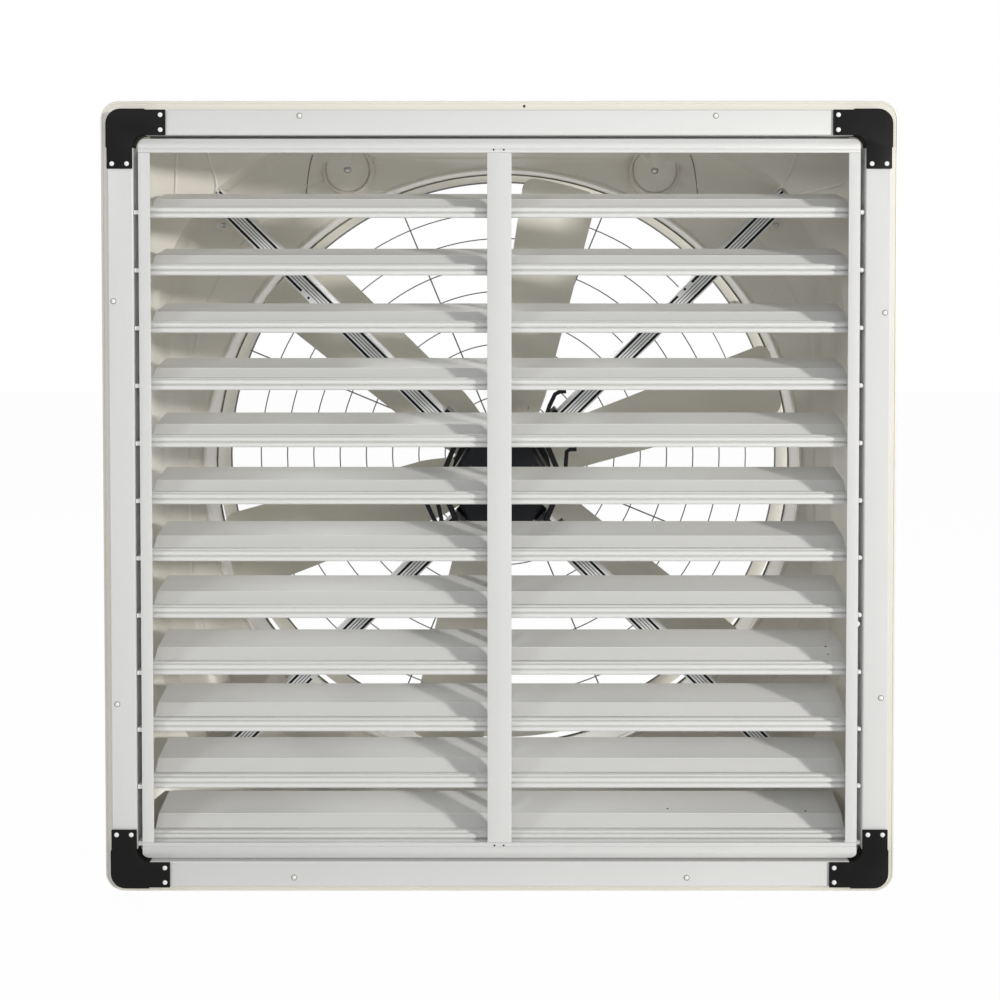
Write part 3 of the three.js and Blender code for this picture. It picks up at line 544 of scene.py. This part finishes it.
louvreValues = {
    "rows": 12, "topPivot": 458.0, "pitch": 90.7091, "pivotDepth": -10.0,
    "innerEnd": 10.0, "outerEnd": 555.0,
    # the outline, as (depth, height) from the pivot: points of the upper face
    "ledge": (22.0, 4.0), "fold": (40.0, 19.5), "rear": (100.0, 31.5),
    "foldLine": ((-0.9, -0.8), (0, -0.9), (0.5, 0.1)),      # a fine pressed line, from the fold
    # the underside, one sheet below, and the radii and steps of its corners
    "underside": ((99.0, 29.5), (40.6, 17.5), (23.2, 2.0), (4.2, 1.0), (2.2, -4.2)),
    "underRadii": (4.0, 2.2, 1.2), "underSteps": 5,
    # arcs: centre, half depth and height, first and last angle, steps
    "rearArc": (100.2, 30.5, 1.4, 1.3, 80, -110, 7),
    "upperBead": (0.8, 0.0, 4.6, 4.2, 24, 256, 17),
    "lowerBead": (0.8, -9.2, 4.0, 3.8, 102, 320, 15),
    "groove": (1.5, -4.8),
    # a low rib behind the upper bead, from its foot to the crease below the fold
    "rib": ((5.6, 0.9), (5.9, 3.4), (7.0, 5.2), (9.4, 6.2), (14.0, 6.1), (20.6, 4.2)),
    # end plate that carries the crank pin: thickness, edge round the pin, heights at the pivot, inset
    "crank": (46.0, 8.0), "crankEdge": 4.5, "plate": 2.0, "plateFoot": (-3.5, 2.0), "plateInset": 1.0,
    # pins: radius, sides, hold in the sheet, and the places of their ends along X
    "pin": (2.5, 16), "pinHold": 3.0, "pinTip": 5.5, "crankPin": (0.6, 11.0), "pinEnd": 564.4,
    # in the gaps beside the stiles, from the pivot: flat strips on the left, pegs on arms on the right
    "strip": ((-571.9, -15.5, -8.2), (-564.4, 1.5, -1.8)),
    "peg": ((564.4, -12.0, -4.6), (572.2, -12.0, -4.6), 3.7, 20, 0.5),
    "arm": ((564.5, -12.0, -7.2), (567.4, 1.5, -0.8)),
}


def louvreOutline(v):
    # rear edge, underside, lip, the two beads upwards, the rib, upper face back to the rear edge
    foldLine = [np.add(v["fold"], step) for step in v["foldLine"]]
    return np.concatenate([
        ovalArc(*v["rearArc"]), bent(v["underside"], v["underRadii"], v["underSteps"]),
        ovalArc(*v["lowerBead"])[::-1], [v["groove"]], ovalArc(*v["upperBead"])[::-1], v["rib"],
        [v["ledge"], *foldLine, v["rear"]]])


def makeLouvres(v):
    outline = louvreOutline(v)
    fold, ledge, crank, edge, inset = v["fold"], v["ledge"], v["crank"], v["crankEdge"], v["plateInset"]
    slope = (v["rear"][1] - fold[1]) / (v["rear"][0] - fold[0])
    far = crank[0] + edge
    plate = [(0, v["plateFoot"][0]), (far - edge / 2, crank[1] - edge), (far, crank[1]),
             (far, fold[1] + slope * (far - fold[0]) - inset), (fold[0], fold[1] - inset),
             (ledge[0], ledge[1] - inset), (0, v["plateFoot"][1])]
    inner, outer = v["innerEnd"], v["outerEnd"]
    for row in range(v["rows"]):
        height = v["topPivot"] - row * v["pitch"]
        number = f"{row + 1:02d}"
        body = f"louvre_row_{number}"
        for side, way in (("left", -1), ("right", 1)):
            pins = [(v["pinTip"], inner + v["pinHold"], (0, 0)), (*v["crankPin"], crank),
                    (outer - v["pinHold"], v["pinEnd"], (0, 0))]
            shapes = [prismAlongX(outline, *sorted((way * inner, way * outer))),
                      prismAlongX(plate, *sorted((way * inner, way * (inner + v["plate"]))))]
            shapes += [tube((way * low, *at), (way * high, *at), *v["pin"]) for low, high, at in pins]
            sheet = moveShape(joinShapes(shapes), 0, v["pivotDepth"], height)
            addPiece(f"louvreSheet_{side}_{number}", sheet, "louvreEnamel", 28,
                     [f"louvre_{side}_{number}"], body)
        ends = joinShapes([block(*v["strip"]), tube(*v["peg"]), block(*v["arm"])])
        addPiece(f"pinEnds_{number}", moveShape(ends, 0, v["pivotDepth"], height), "whiteRivet",
                 body=body)


makeLouvres(louvreValues)
print("louvres made")


# housing: rings of rounded squares and circles, from the flange's edge inwards and back outside

housingValues = {
    "flangeHalf": 630.0, "flangeCorner": 30.0, "thickness": 8.0,
    # rolled rim: radius and the angles of its rings
    "rimRadius": 3.0, "rimAngles": (0.5, 1.05, math.pi / 2),
    # groove near the flange's edge: place from the edge, half width, depth, ring places
    "groove": (5.0, 1.2, 0.9), "grooveMarks": (1, 0.4, -0.4, -1),
    # half width and corner radius where the flange's front ends and where its back meets the box
    "flangeInner": (600, 40), "boxRoot": (595.0, 55),
    "skin": 5.0, "steps": 26, "depthSteps": 845,
    # depth, half width, corner radius
    "sections": ((-8, 590, 50), (60, 590, 50), (150, 590, 330), (232, 590, 330), (262, 578, 350),
                 (290, 566, 420), (312, 556, 555), (322, 550, 549), (422, 550, 549)),
    "moreDepths": (20, 40, 80, 100, 120, 136, 170, 200, 245, 275, 300, 380),
    # depth, half length and outward rise of two beads and of a groove in the throat, and ring places
    "beads": ((318.0, 3.0, -2.2), (286.0, 3.5, -2.4), (336.0, 1.4, 1.6)),
    "beadMarks": (-1, -0.7, -0.3, 0, 0.3, 0.7, 1),
    # radius, depth, wire, steps and sides of the bead where the bell meets the throat, in a paler gelcoat as
    # a painted highlight, and of the rear seam, a dark ring painted as the shade of the gap before the
    # guard's rim
    "mouthRing": (550.6, 317.0, 2.8, 144, 12), "lipShadeRing": (549.0, 420.0, 1.5, 144, 8),
    # two corners of a dark line where the upper rail meets the flange, painted shade in the corner between
    # them
    "frameShadeLine": ((-535.0, -8.9, 613.1), (535.0, -7.4, 614.8)),
}


def ringPoints(half, radius, depth, steps):
    centre = half - radius
    angle = np.radians(np.linspace(0, 90, steps + 1))
    quarter = np.stack([centre + radius * np.cos(angle), np.full(steps + 1, depth),
                        centre + radius * np.sin(angle)], axis=1)
    return np.concatenate([turnAboutY(quarter, -90 * turn) for turn in range(4)])


def wallSizes(depths, v):
    # half width and corner radius of the housing's inside at each depth
    sections = np.array(v["sections"], float).T
    return [np.interp(depths, sections[0], size) for size in sections[1:]]


def makeHousing(v):
    marks = {depth for depth, _, _ in v["sections"]}.union(v["moreDepths"])
    marks.update(depth + reach * k for depth, reach, _ in v["beads"] for k in v["beadMarks"])
    depths = np.array(sorted(marks), float)
    half, radius = wallSizes(depths, v)
    for place, reach, rise in v["beads"]:
        share = np.clip(1 - ((depths - place) / reach) ** 2, 0, None)
        half, radius = half + rise * share, radius + rise * share
    corner, edge, thick = v["flangeCorner"], v["flangeHalf"], v["thickness"]
    skin, rim = v["skin"], v["rimRadius"]
    rings = list(zip(half, radius, depths))
    rings += [(h + skin, r + skin, d) for d, h, r in v["sections"][:0:-1]]
    rings += [(*v["boxRoot"], 0), (edge, corner, 0), (edge, corner, rim - thick)]
    for t in v["rimAngles"]:
        inwards = rim * (1 - math.cos(t))
        rings.append((edge - inwards, corner - inwards, rim * (1 - math.sin(t)) - thick))
    place, reach, sink = v["groove"]
    for k in v["grooveMarks"]:
        inwards = place - reach * k
        rings.append((edge - inwards, corner - inwards, sink * (1 - k * k) - thick))
    rings.append((*v["flangeInner"], -thick))
    return loftShape(np.stack([ringPoints(*ring, v["steps"]) for ring in rings]), wrapRows=True)


addPiece("housingShell", makeHousing(housingValues), "gelcoat", 24, ["frp_housing"])
# the bead at the mouth in the paler gelcoat: painted highlight
addPiece("mouthRing", ringTube(*housingValues["mouthRing"]), "paintedHighlightGelcoat", 60)
# a dark ring at the throat's rear lip: painted shade in the gap before the guard's rim
addPiece("lipShadeRing", ringTube(*housingValues["lipShadeRing"]), "paintedShade", 60)
# the same dark line along all four rails: painted shade where each rail stands out from the flange
railShadeLine = block(*housingValues["frameShadeLine"])
railShadeLines = joinShapes([turnShape(railShadeLine, 90 * turn) for turn in range(4)])
addPiece("frameShadeLine", railShadeLines, "paintedShade")
print("housing made")


# struts: a drawn profile with two deep slots and fine grooves on its front, slots on its sides

strutValues = {
    "foot": 98.0, "end": 696.3, "front": 168.0, "depth": 60.0, "half": 15.0, "edge": 0.35,
    # place across, half width and depth of each slot, and the depths between which a dark strip fills its
    # inside, painted shade for the deep slot
    "frontSlots": ((-10.6, 2.1, 9.0, 1.6, 8.8), (10.6, 2.1, 9.0, 1.6, 8.8), (-4.6, 0.65, 3.4, 1.2, 3.3),
                   (0.0, 0.65, 3.4, 1.2, 3.3), (4.6, 0.65, 3.4, 1.2, 3.3)),
    "shadeFillerGap": 0.1, "shadeFillerInset": 1.0,
    "sideSlots": (15.0, 45.0), "sideSlotHalf": 2.2, "sideSlotDepth": 5.0,
    # angle from upright and finish
    "struts": {"upper_right": (45, "millRising"), "lower_right": (135, "millFalling"),
               "lower_left": (225, "millRising"), "upper_left": (315, "millFalling")},
}


def strutOutline(v):
    # front face and one side as (across, depth); the back and the other side are these turned by half
    half, inner = v["half"], v["half"] - v["sideSlotDepth"]
    points = [(-half, 0)]
    for place, reach, sink, *_ in sorted(v["frontSlots"]):
        low, high = place - reach, place + reach
        points += [(low, 0), (low, sink), (high, sink), (high, 0)]
    points.append((half, 0))
    for place in v["sideSlots"]:
        low, high = place - v["sideSlotHalf"], place + v["sideSlotHalf"]
        points += [(half, low), (inner, low), (inner, high), (half, high)]
    return np.array(points + [(-a, v["depth"] - b) for a, b in points], float)


def makeStruts(v):
    across, depth = strutOutline(v).T
    ends = [np.column_stack([across, depth + v["front"], np.full(len(across), reach)])
            for reach in (v["foot"], v["end"])]
    shape = loftShape(np.stack(ends))
    gap, inset, front = v["shadeFillerGap"], v["shadeFillerInset"], v["front"]
    # dark strips inside the front slots: painted shade standing in for the slots' deep, unlit insides
    slotShadeFillers = joinShapes([block((place - reach + gap, front + low, v["foot"] + inset),
                                (place + reach - gap, front + high, v["end"] - inset))
                          for place, reach, _, low, high in v["frontSlots"]])
    for name, (angle, mill) in v["struts"].items():
        strut = addPiece(f"strutProfile_{name}", turnShape(shape, angle), mill, 20,
                         [f"motor_strut_{name}"])
        soften(strut, v["edge"])
        # each strut's slot strips carry the painted slot shade
        addPiece(f"slotShadeStrips_{name}", turnShape(slotShadeFillers, angle), "blackScrewAndSlotShade")


makeStruts(strutValues)
print("struts made")


# blades: chord, twist and camber change along the radius; a function of share along and share across

bladeValues = {
    "count": 6, "firstAngle": 11.7, "root": 80.4, "tip": 537.0, "middle": 343.6,
    "stations": (80.4, 135.3, 523.0), "chords": (96.0, 122.0, 157.4), "twists": (36.0, 26.0), "camber": 9.0,
    "thickness": 3.2, "along": 40, "across": 18,
    # corners at the tip: radius, how full they are, and how much closer together the rows stand there
    "tipCorner": 26.0, "tipFullness": 0.9, "tipCrowding": 1.8,
    # how late the sheet thins towards its edges, and its least share there
    "edgePower": 6, "edgeLeast": 0.02,
}


def bladeFace(across, rise, twist, middle):
    # x and depth of points given across the chord and off it
    return (across * np.cos(twist) - rise * np.sin(twist),
            middle + across * np.sin(twist) + rise * np.cos(twist))


def makeBlade(v):
    u = np.linspace(0, 1, v["along"])
    radius = v["root"] + (v["tip"] - v["root"]) * (1 - (1 - u) ** v["tipCrowding"])
    chord = np.interp(radius, v["stations"], v["chords"])
    into = np.clip((radius - (v["tip"] - v["tipCorner"])) / v["tipCorner"], 0, 1)
    chord = chord - 2 * v["tipCorner"] * (1 - np.sqrt(np.clip(1 - into ** 2, 0, 1))) * v["tipFullness"]
    twist = np.radians(np.interp(radius, (v["root"], v["tip"]), v["twists"]))[:, None]
    w = np.linspace(-1, 1, v["across"])[None, :]
    edge = np.sqrt(np.clip(1 - w ** v["edgePower"], v["edgeLeast"], 1))
    faces = []
    for way in (-1, 1):
        rise = v["camber"] * (1 - w ** 2) - v["camber"] / 2 + way * v["thickness"] / 2 * edge
        x, y = bladeFace(chord[:, None] / 2 * w, rise, twist, v["middle"])
        # the tip's edge follows the throat's circle
        z = np.sqrt(np.clip(radius[:, None] ** 2 - x ** 2 * into[:, None], 1, None))
        faces.append(np.stack([x, y, z], axis=-1))
    return loftShape(np.concatenate([faces[0], faces[1][:, ::-1]], axis=1))


bladeShape = makeBlade(bladeValues)
for k in range(bladeValues["count"]):
    addPiece(f"bladeSheet_{k + 1}", turnShape(bladeShape, bladeValues["firstAngle"] + 60 * k), "bladeSheet",
             40, [f"fan_blade_{k + 1}"], "rotor")
print("blades made")


# rear guard: round wires, straight wires across them and a flat rim

guardValues = {
    "rings": 9, "smallest": 63.6, "largest": 482.0, "depth": 503.0,
    "ringWire": (1.15, 120, 8),               # radius, steps and sides
    # straight wires: count, angle of the first, both ends and radius and sides
    "spokes": 8, "offset": 22.5, "spoke": ((0, 500.8, 61.6), (0, 500.8, 544.0), 1.4, 10),
    # radius and depth round the rim, a flat band with rolled edges
    "rim": ((540.6, 500.4), (541.4, 499.8), (564.0, 499.8), (566.5, 500.6), (567.0, 502.0), (566.0, 503.0),
            (541.4, 503.0), (540.6, 502.2), (540.6, 500.4)),
    "rimSteps": 144,
    "edgeRing": (540.6, 501.2, 1.9, 144, 10),   # the outermost wire, along the rim's inner edge
}


def makeGuard(v):
    shapes = [ringTube(radius, v["depth"], *v["ringWire"])
              for radius in np.linspace(v["smallest"], v["largest"], v["rings"])]
    spoke = tube(*v["spoke"])
    shapes += [turnShape(spoke, v["offset"] + k * 360 / v["spokes"]) for k in range(v["spokes"])]
    return joinShapes(shapes)


addPiece("guardWires", makeGuard(guardValues), "dippedWire", 40, ["rear_guard"])
addPiece("guardRim", latheY(guardValues["rim"], guardValues["rimSteps"]), "gelcoat", 40)
addPiece("guardEdge", ringTube(*guardValues["edgeRing"]), "dippedWire", 60)
print("guard made")


# small fasteners on the frame: domes with the flat side on the face that carries them

fastenerValues = {
    "sides": 24,
    # face, places along and across the upper right bracket's legs, radius and rise
    "bracket": {"front": -31.3, "along": 528.6, "across": (581.4, 604.6), "head": (3.7, 1.1)},
    # face, radius and rise, finish, and x, z of the heads
    "rails": {"front": -28.0, "head": (3.7, 2.2), "finish": "whiteRivet",
              "places": ((-312, 603.5), (338, 603.5), (-604.5, 314), (-603, -322), (-325, -598),
                         (296, -598.5), (604, 296), (601.5, -312))},
    "flange": {"front": -8.0, "head": (2.2, 0.9), "finish": "darkScrew", "places": ((39, 621),)},
    "mullion": {"front": -30.0, "head": (1.5, 0.5), "finish": "darkScrew",
                "places": ((-9, 550.4), (7, 550.4), (-8, -546), (6.5, -546))},
    # profiles as (radius, depth): the dark rings under the rails' screws, painted shadow round their heads,
    # and a white stop on the stile
    "screwShadowRing": ((0, -27.7), (4.6, -27.7), (4.6, -28.25), (0, -28.25)),
    "stopBump": ((0, -16.0), (4.2, -16.0), (4.2, -26.0), (3.2, -27.0), (0, -27.0)),
    "stopPlace": (564.3, -195.0),
}


def makeFasteners(v):
    b, sides = v["bracket"], v["sides"]
    heads = [dome(x, b["front"], z, *b["head"], sides)
             for a in b["across"] for x, z in ((b["along"], a), (a, b["along"]))]
    for turn, corner in enumerate(("top_right", "bottom_right", "bottom_left", "top_left")):
        addPiece(f"bracketRivets_{corner}", turnShape(joinShapes(heads), 90 * turn), "whiteRivet",
                 50)
    for name in ("rails", "flange", "mullion"):
        k = v[name]
        heads = [dome(x, k["front"], z, *k["head"], sides) for x, z in k["places"]]
        addPiece(f"{name}Screws", joinShapes(heads), k["finish"], 50)
    # dark rings round the rails' screw heads: painted shadow
    screwShadowRings = [latheY(v["screwShadowRing"], sides, place) for place in v["rails"]["places"]]
    addPiece("railScrewShadows", joinShapes(screwShadowRings), "paintedShade")
    addPiece("stopBump", latheY(v["stopBump"], sides, v["stopPlace"]), "whiteRivet")


makeFasteners(fastenerValues)
print("frame fasteners made")


# small screws on two of the louvres, each riding with its row

louvreScrewValues = {
    "heights": (-0.5, 0.9), "sides": 16, "endRound": 0.3,
    # row: x, depth from the pivot, radius
    "rows": {9: ((528.5, 41.5, 1.9), (529.5, 30.0, 1.2)), 12: ((274.0, 52.0, 1.5), (498.0, 46.0, 1.7))},
}


def makeLouvreScrews(screws, v):
    depths, heights = zip((0, 4), v["ledge"], v["fold"], v["rear"])
    low, high = screws["heights"]
    for row, places in screws["rows"].items():
        heads = []
        for x, depth, radius in places:
            head = tube((x, 0, low), (x, 0, high), radius, screws["sides"], screws["endRound"])
            heads.append(moveShape(head, 0, depth, float(np.interp(depth, depths, heights))))
        shape = moveShape(joinShapes(heads), 0, v["pivotDepth"], v["topPivot"] - (row - 1) * v["pitch"])
        addPiece(f"louvreScrews_{row:02d}", shape, "darkScrew", 50, body=f"louvre_row_{row:02d}")


makeLouvreScrews(louvreScrewValues, louvreValues)
print("louvre screws made")


# housing details: beads along the corners' ridges in a paler gelcoat (painted highlight), dark lines along
# the seams (painted shade of grooves), bolted pads on the shoulder, washers and bolts

rightSeam = ((336, 248, 570), (344, 264, 555), (352, 284, 524), (356, 294, 496), (358, 304, 460))
housingDetailValues = {
    # radius, sides and finish, then points on the housing's inner face
    # ridge beads in the paler gelcoat, a painted highlight against the shaded corners
    "beads": (2.6, 10, "paintedHighlightGelcoat", {
        "ridgeUpperRight": ((498, 96, 572), (496, 105, 565), (494, 109, 560), (492, 120, 546),
                            (487, 135, 525), (481, 145, 515), (479, 168, 509), (480, 192, 506),
                            (480, 236, 502)),
        "ridgeLowRight": ((568, 98, 507), (557, 106, 504), (533, 124, 499), (512, 140, 495), (498, 152, 491)),
        "ridgeUpperLeft": ((-491, 96, 577), (-491, 104, 568), (-488, 122, 546), (-483, 144, 515),
                           (-484, 170, 506), (-487, 198, 499)),
        "edgeUpperLeft": ((-533, 88, 563), (-536, 93, 555), (-541, 106, 527), (-546, 119, 494)),
    }),
    # dark tubes along the seams: painted shade standing in for grooves not cut into the shell
    "grooveShadeLines": (0.8, 8, "paintedShade", {"grooveShadeRight": rightSeam,
                                    "grooveShadeLeft": [(-x, y, z) for x, y, z in rightSeam]}),
    # heads on the pads' plane: radius, rise, sides and sink
    "padPlaces": {"left": (-277, 545.5), "right": (275, 544)}, "padFront": 270.0,
    "padBolt": (6.5, 3.6, 24, 1.0), "padRivets": ((274, 513),), "padRivet": (3.0, 1.6, 18, 1.0),
    "wallRivets": ((493, 332), (-493, 332)), "anchors": ((492, 445), (-499, 445), (492, -445), (-492, -445)),
    # radius and lift of each ring: flat front, pressed ring, raised lip, foot
    "padProfile": ((0, 0), (38.0, 0), (38.6, -3.0), (40.6, -3.0), (41.2, 1.2), (43.0, 1.8), (44.6, 0.6),
                   (47.0, -6.0)),
    "rivetProfile": ((0, 1.8), (1.6, 1.6), (2.6, 1.0), (3.0, 0.2), (3.0, -1.0)),
    "washerProfile": ((0, 2.4), (10.0, 2.4), (11.0, 1.6), (11.0, -1.0)),
    "boltProfile": ((0, 6.4), (2.6, 6.0), (4.2, 4.8), (4.8, 3.0), (4.8, -1.0)),
    "padSides": 72, "washerSides": 32, "headSides": 18,
    # how far behind the wall's face a flat front, a foot and a back may lie
    "flatSink": 1.0, "footSink": 0.8, "backSink": 1.6,
}


def wallDepth(x, z, wall):
    # first depth at which the housing's inside, a rounded square at each depth, no longer holds the point
    depths = np.linspace(0, wall["sections"][-1][0], wall["depthSteps"])
    half, radius = wallSizes(depths, wall)
    a, b = np.abs(x)[:, None], np.abs(z)[:, None]
    centre = half - radius
    corner = np.hypot(a - centre, b - centre) - radius
    side = np.maximum(a, b) - half
    outside = np.where((a > centre) & (b > centre), corner, side) >= 0
    return depths[np.argmax(outside, axis=1)]


# points for each given one, weights of a point and its neighbours, rounds of smoothing, a way across
wireValues = {"perPoint": 4, "weights": (0.25, 0.5, 0.25), "rounds": 6, "across": (0.3, 0.2, 1.0)}


def wire(points, radius, sides, wall, v):
    # a round bead along a smooth line through the points, its rings square to the line; the line is moved
    # forward wherever it would pass behind the wall
    points = np.asarray(points, float)
    fine = np.linspace(0, len(points) - 1, len(points) * v["perPoint"])
    line = np.stack([np.interp(fine, np.arange(len(points)), points[:, k]) for k in range(3)], axis=1)
    for _ in range(v["rounds"]):
        line[1:-1] = np.stack([np.convolve(line[:, k], v["weights"], "valid") for k in range(3)], axis=1)
        line[:, 1] = np.minimum(line[:, 1], wallDepth(line[:, 0], line[:, 2], wall))
    along = np.gradient(line, axis=0)
    along /= np.linalg.norm(along, axis=1)[:, None]
    side = np.cross(along, v["across"])
    side /= np.linalg.norm(side, axis=1)[:, None]
    up = np.cross(along, side)
    angle = np.linspace(0, 2 * np.pi, sides, endpoint=False)[None, :, None]
    return loftShape(line[:, None] + radius * (np.cos(angle) * side[:, None] + np.sin(angle) * up[:, None]))


def wallDisc(x, z, profile, sides, v, wall, flatAt=None):
    # a round thing on the wall from (radius, lift) rings: it stands off the wall by the lift, or off a flat
    # plane where one is given, and its back lies inside the wall's thickness
    radius, lift = np.array(profile, float).T[:, :, None]
    angle = np.linspace(0, 2 * np.pi, sides, endpoint=False)
    px, pz = x + radius * np.cos(angle), z + radius * np.sin(angle)
    surface = wallDepth(px.ravel(), pz.ravel(), wall).reshape(px.shape)
    front = surface - lift if flatAt is None else np.minimum(flatAt - lift, surface + v["flatSink"])
    front[-1] = surface[-1] + v["footSink"]
    back = surface + v["backSink"]
    return loftShape(np.concatenate([np.stack([px, front, pz], axis=-1),
                                     np.stack([px, back, pz], axis=-1)[::-1]]))


def makeHousingDetails(v, wall):
    for radius, sides, finish, lines in (v["beads"], v["grooveShadeLines"]):
        for name, points in lines.items():
            addPiece(name, wire(points, radius, sides, wall, wireValues), finish, 60)
    for name, (x, z) in v["padPlaces"].items():
        pad = wallDisc(x, z, v["padProfile"], v["padSides"], v, wall, v["padFront"])
        addPiece(f"boltPad_{name}", pad, "gelcoat", 40)
        addPiece(f"padBolt_{name}", dome(x, v["padFront"], z, *v["padBolt"]), "plainSteel", 50)
    rivets = [dome(x, v["padFront"], z, *v["padRivet"]) for x, z in v["padRivets"]]
    rivets += [wallDisc(*place, v["rivetProfile"], v["headSides"], v, wall) for place in v["wallRivets"]]
    addPiece("wallRivets", joinShapes(rivets), "whiteRivet", 50)
    washers = [wallDisc(*place, v["washerProfile"], v["washerSides"], v, wall) for place in v["anchors"]]
    bolts = [wallDisc(*place, v["boltProfile"], v["headSides"], v, wall) for place in v["anchors"]]
    addPiece("anchorWashers", joinShapes(washers), "gelcoat", 50)
    addPiece("anchorBolts", joinShapes(bolts), "plainSteel", 50)


makeHousingDetails(housingDetailValues, housingValues)
print("housing details made")


# strut fittings: screws in the slots, clamps at the strut feet, bolts and straps by the brace, cover screws

fittingValues = {
    # two corners each; the clamp's is repeated on the other side
    "clamp": ((22.5, 172.0, 128.0), (15.2, 228.0, 154.0)),
    "slotNut": ((-13.1, 168.4, 441.0), (-8.1, 169.8, 475.0)),
    # x, depth, z, radius, rise and sides of the heads
    "slotScrew": (-10.6, 168.5, 458.0, 2.3, 1.2, 18),
    "braceBolt": (0, 159.7, 104.5, 3.2, 1.6, 20),
    "coverScrew": (0, 140.0, 62.0, 2.6, 1.4, 18),
    # flat straps that stand out from the brace: x, z along each
    "strapWidth": 7.0, "strapDepths": (161.0, 165.0),
    "straps": (((66, 84), (76, 108), (83, 130), (93, 151), (101, 155), (112, 156)),
               ((104, 2), (111, 20), (112, 40), (113, 52), (119, 56), (130, 56)),
               ((-80, -64), (-95, -74), (-108, -76), (-115, -66), (-122, -51), (-130, -34)),
               ((-104, -78), (-103, -64), (-106, -50), (-110, -34))),
}


def strap(path, width, depths):
    # a flat strip along a line of (x, z) points, its edges half the width to each side of the line
    path = np.asarray(path, float)
    along = np.gradient(path, axis=0)
    along /= np.linalg.norm(along, axis=1)[:, None]
    side = np.stack([-along[:, 1], along[:, 0]], axis=1) * width / 2
    near, far = path - side, path + side
    corners = [(near, depths[0]), (far, depths[0]), (far, depths[1]), (near, depths[1])]
    grid = [np.column_stack([edge[:, 0], np.full(len(path), depth), edge[:, 1]]) for edge, depth in corners]
    return loftShape(np.stack(grid, axis=1))


def makeFittings(v):
    (outerX, *outer), (innerX, *inner) = v["clamp"]
    clamps = joinShapes([block((side * outerX, *outer), (side * innerX, *inner)) for side in (-1, 1)])
    nut, screw, bolt = block(*v["slotNut"]), dome(*v["slotScrew"]), dome(*v["braceBolt"])
    for name, (angle, mill) in strutValues["struts"].items():
        addPiece(f"strutClamp_{name}", turnShape(clamps, angle), "blackSteel")
        addPiece(f"slotNut_{name}", turnShape(nut, angle), mill)
        addPiece(f"slotScrew_{name}", turnShape(screw, angle), "blackScrewAndSlotShade", 50)
        addPiece(f"braceBolt_{name}", turnShape(bolt, angle), "plainSteel", 50)
    heads = [turnShape(dome(*v["coverScrew"]), 60 * turn) for turn in range(6)]
    addPiece("coverScrews", joinShapes(heads), "darkScrew", 50)
    for number, path in enumerate(v["straps"], 1):
        shape = strap(path, v["strapWidth"], v["strapDepths"])
        addPiece(f"braceStrap_{number}", shape, "blackSteel", 30)


makeFittings(fittingValues)
print("strut fittings made")


# motor, hub and blade root details, seen from behind

motorDetailValues = {
    "ribs": 11, "ribDepths": (238.0, 292.0), "ribSteps": 72,
    # radius, and depth from the rib's middle
    "ribProfile": ((83.0, -1.2), (87.9, -1.2), (88.5, 0), (87.9, 1.2), (83.0, 1.2), (83.0, -1.2)),
    "box": ((-32.0, 246.0, 82.0), (32.0, 288.0, 104.0)), "boxEdge": 2.5,
    "nutProfile": ((0, 372.8), (17.0, 372.8), (17.0, 381.5), (15.0, 383.0), (0, 383.0)),
    # places along and across the blade; how deep the head is set; radius, rise, sides and sink, where a
    # rise and a sink below zero turn the head to the rear
    "bladeBolts": {"reach": (92.0, 114.0), "across": (-22.0, 22.0), "set": 0.8,
                   "head": (5.5, -3.2, 18, -1.5)},
}


def bladeRearDepth(x, z, v):
    # depth of the blade's rear face at a place near the root, where the blade stands along +Z
    twist = math.radians(float(np.interp(z, (v["root"], v["tip"]), v["twists"])))
    chord = float(np.interp(z, v["stations"], v["chords"]))
    w = np.linspace(-1, 1, 81)
    rise = v["camber"] * (1 - w ** 2) - v["camber"] / 2 + v["thickness"] / 2
    return float(np.interp(x, *bladeFace(chord / 2 * w, rise, twist, v["middle"])))


def makeMotorDetails(v, blade):
    ribs = [moveShape(latheY(v["ribProfile"], v["ribSteps"]), 0, depth, 0)
            for depth in np.linspace(*v["ribDepths"], v["ribs"])]
    addPiece("motorRibs", joinShapes(ribs), "blackSteel", 50)
    soften(addPiece("terminalBox", block(*v["box"]), "blackSteel", 30), v["boxEdge"])
    addPiece("hubNut", latheY(v["nutProfile"], 6), "plainSteel", 30, body="rotor")
    bolts = v["bladeBolts"]
    heads = []
    for reach in bolts["reach"]:
        for across in bolts["across"]:
            depth = bladeRearDepth(across, reach, blade) - bolts["set"]
            heads.append(dome(across, depth, reach, *bolts["head"]))
    shape = joinShapes(heads)
    for turn in range(blade["count"]):
        addPiece(f"bladeBolts_{turn + 1}", turnShape(shape, blade["firstAngle"] + 60 * turn), "plainSteel",
                 50, body="rotor")


makeMotorDetails(motorDetailValues, bladeValues)
print("motor details made")
